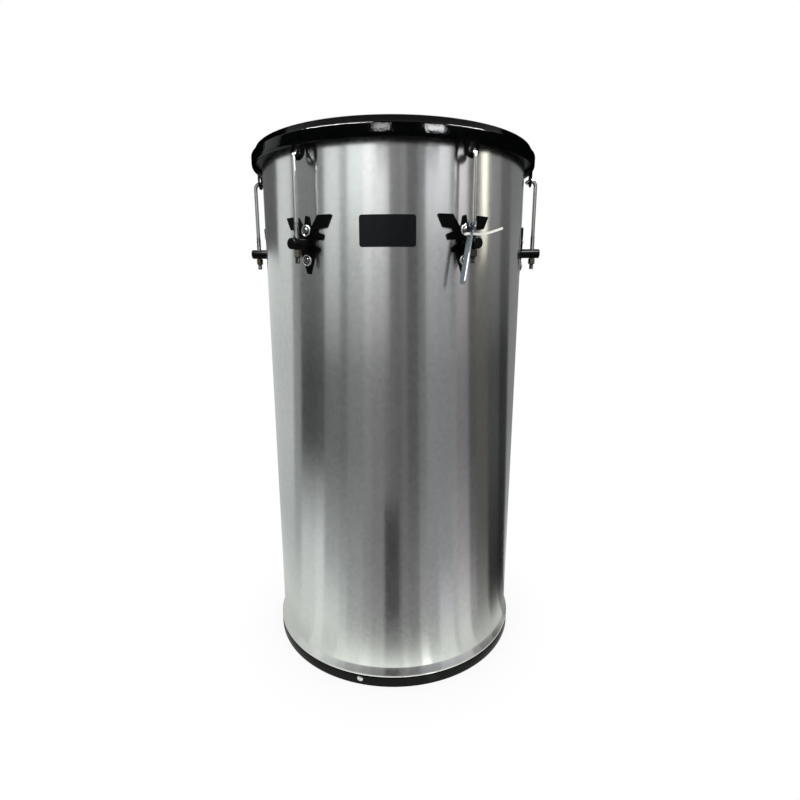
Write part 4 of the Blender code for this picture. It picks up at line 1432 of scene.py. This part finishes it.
    def set_panel(self, panel: Panel) -> bpy.types.Object:
        """Hang one curved panel round the drum, out of the camera's sight.

        Args:
            panel: The panel.

        Returns:
            The hung panel.
        """
        steps = max(2, int((panel.end - panel.start) / 3.0))
        rise = panel.head - panel.foot
        places = [(panel.radius, panel.foot + rise * i / 4.0) for i in range(5)]
        if panel.foot == 0.0:
            level = 0.5 + 0.01 * (self.wall_radius - panel.radius)
            middle = (self.floor_inner + panel.radius) / 2.0
            places = [(self.floor_inner, level), (middle, level), (panel.radius, level)] + places[1:]
        bm = bmesh.new()
        columns = []
        for i in range(steps + 1):
            angle = panel.start + (panel.end - panel.start) * i / steps
            column = []
            for radius, height in places:
                a = self.leaned(angle, radius, height)
                column.append(bm.verts.new((radius * math.sin(a) * MM, -radius * math.cos(a) * MM, height * MM)))
            columns.append(column)
        for one, two in zip(columns, columns[1:]):
            for k in range(len(places) - 1):
                bm.faces.new((one[k], two[k], two[k + 1], one[k + 1]))
        mesh = bpy.data.meshes.new(panel.name)
        bm.to_mesh(mesh)
        bm.free()
        mesh.materials.append(self.glow(panel))
        piece = bpy.data.objects.new(panel.name, mesh)
        self.hide(piece)
        return piece

    def light_glints(self, pieces: Sequence[bpy.types.Object]) -> None:
        """Hang the small lamps that light the hoop and the hardware alone.

        Args:
            pieces: The pieces.
        """
        lit = bpy.data.collections.new("hoop and hardware")
        for piece in pieces:
            lit.objects.link(piece)
        for panel in self.small_lamps():
            self.set_panel(panel).light_linking.receiver_collection = lit

    @staticmethod
    def light_key(key: bpy.types.Object) -> None:
        """Set a small lamp that only glints in the key's outer edge.

        Args:
            key: The key.
        """
        lit = bpy.data.collections.new("key")
        lit.objects.link(key)
        data = bpy.data.lights.new("key glint", "AREA")
        data.shape = "RECTANGLE"
        data.size = 0.1
        data.size_y = 0.05
        data.energy = 0.05
        lamp = bpy.data.objects.new("key glint", data)
        bpy.context.scene.collection.objects.link(lamp)
        lamp.location = (0.254, -0.274, 0.535)
        aim = Vector((0.1, -0.17, 0.53)) - lamp.location
        lamp.rotation_euler = aim.to_track_quat("-Z", "Y").to_euler()
        lamp.visible_camera = False
        lamp.visible_diffuse = False
        lamp.light_linking.receiver_collection = lit

    def keep_dark(self, pieces: Sequence[bpy.types.Object]) -> None:
        """Keep the room's panels out of some pieces.

        Args:
            pieces: The pieces, which mirror black in their place.
        """
        others = bpy.data.collections.new("all but the hoop")
        for piece in pieces:
            others.objects.link(piece)
        for entry in others.collection_objects:
            entry.light_linking.link_state = "EXCLUDE"
        for panel in self.room:
            panel.light_linking.receiver_collection = others

    def glow(self, panel: Panel) -> bpy.types.Material:
        """Material that glows along the floor and up the panel.

        Args:
            panel: The panel.

        Returns:
            The glowing material.
        """
        material = bpy.data.materials.new(panel.name)
        material.use_nodes = True
        graph = Graph(material.node_tree)
        height = graph.node("ShaderNodeSeparateXYZ", {}, {0: graph.place()}).out("Z")
        flat = graph.stretched((1.0, 1.0, 0.0))
        away = graph.node("ShaderNodeVectorMath", {"operation": "LENGTH"}, {0: flat}).out("Value")
        first, last = self.span
        along = (height + away - (self.wall_radius + first) * MM) / ((last - first) * MM)
        levels = panel.surface.value
        stops = []
        if panel.foot == 0.0:
            front = math.radians(1.5 * min(60.0, abs(panel.start + panel.end) / 2.0))
            near = self.near_floor + self.front_floor * math.cos(front)
            stops.append(((self.near_floor_at - first) / (last - first), near / self.brightest))
        stops += [((at - first) / (last - first), levels[k] / self.brightest) for at, k in self.levels_at]
        tint = graph.blend(height.above(0.005), self.floor_tint, panel.tint)
        colour = graph.blend(graph.ramp(along, stops), (0.0, 0.0, 0.0), tint)
        inputs = {"Color": colour, "Strength": self.brightest * panel.gain}
        shader = graph.node("ShaderNodeEmission", {}, inputs)
        graph.node("ShaderNodeOutputMaterial", {}, {"Surface": shader.out(0)})
        return material

    def disc(self, name: str, radius: float, height: float) -> bpy.types.Object:
        """Level round sheet of the studio."""
        bm = bmesh.new()
        bmesh.ops.create_circle(bm, cap_ends=True, segments=96, radius=radius * MM)
        mesh = bpy.data.meshes.new(name)
        bm.to_mesh(mesh)
        bm.free()
        sheet = bpy.data.objects.new(name, mesh)
        sheet.location = (0.0, 0.0, height * MM)
        bpy.context.scene.collection.objects.link(sheet)
        return sheet

    def set_disc(self, name: str, radius: float, height: float, colour: Colour) -> None:
        """Lay one glowing round sheet that only shows in reflections."""
        sheet = self.disc(name, radius, height)
        material = bpy.data.materials.new(name)
        material.use_nodes = True
        graph = Graph(material.node_tree)
        glow = graph.node("ShaderNodeEmission", {}, {"Color": colour, "Strength": 1.0})
        graph.node("ShaderNodeOutputMaterial", {}, {"Surface": glow.out(0)})
        sheet.data.materials.append(material)
        self.hide(sheet)

    @staticmethod
    def hide(piece: bpy.types.Object) -> None:
        """Leave a stage piece to mirror rays alone."""
        if not piece.users_collection:
            bpy.context.scene.collection.objects.link(piece)
        piece.visible_camera = False
        piece.visible_diffuse = False
        piece.visible_shadow = False
        piece.visible_transmission = False


def main() -> None:
    """Build the studio and the drum."""
    logging.basicConfig(level=logging.INFO, format="%(name)s: %(message)s")
    turns = [60.0 * i - 30.0 for i in range(6)]
    studio = Studio()
    studio.build()
    Shell().build()
    hoop = Rim().build(turns)
    hardware = Station().build(turns)
    Label().build()
    key = TiedKey().build()
    studio.keep_dark(hoop)
    studio.light_glints(hoop + hardware)
    studio.light_key(key)


if __name__ == "__main__":
    main()
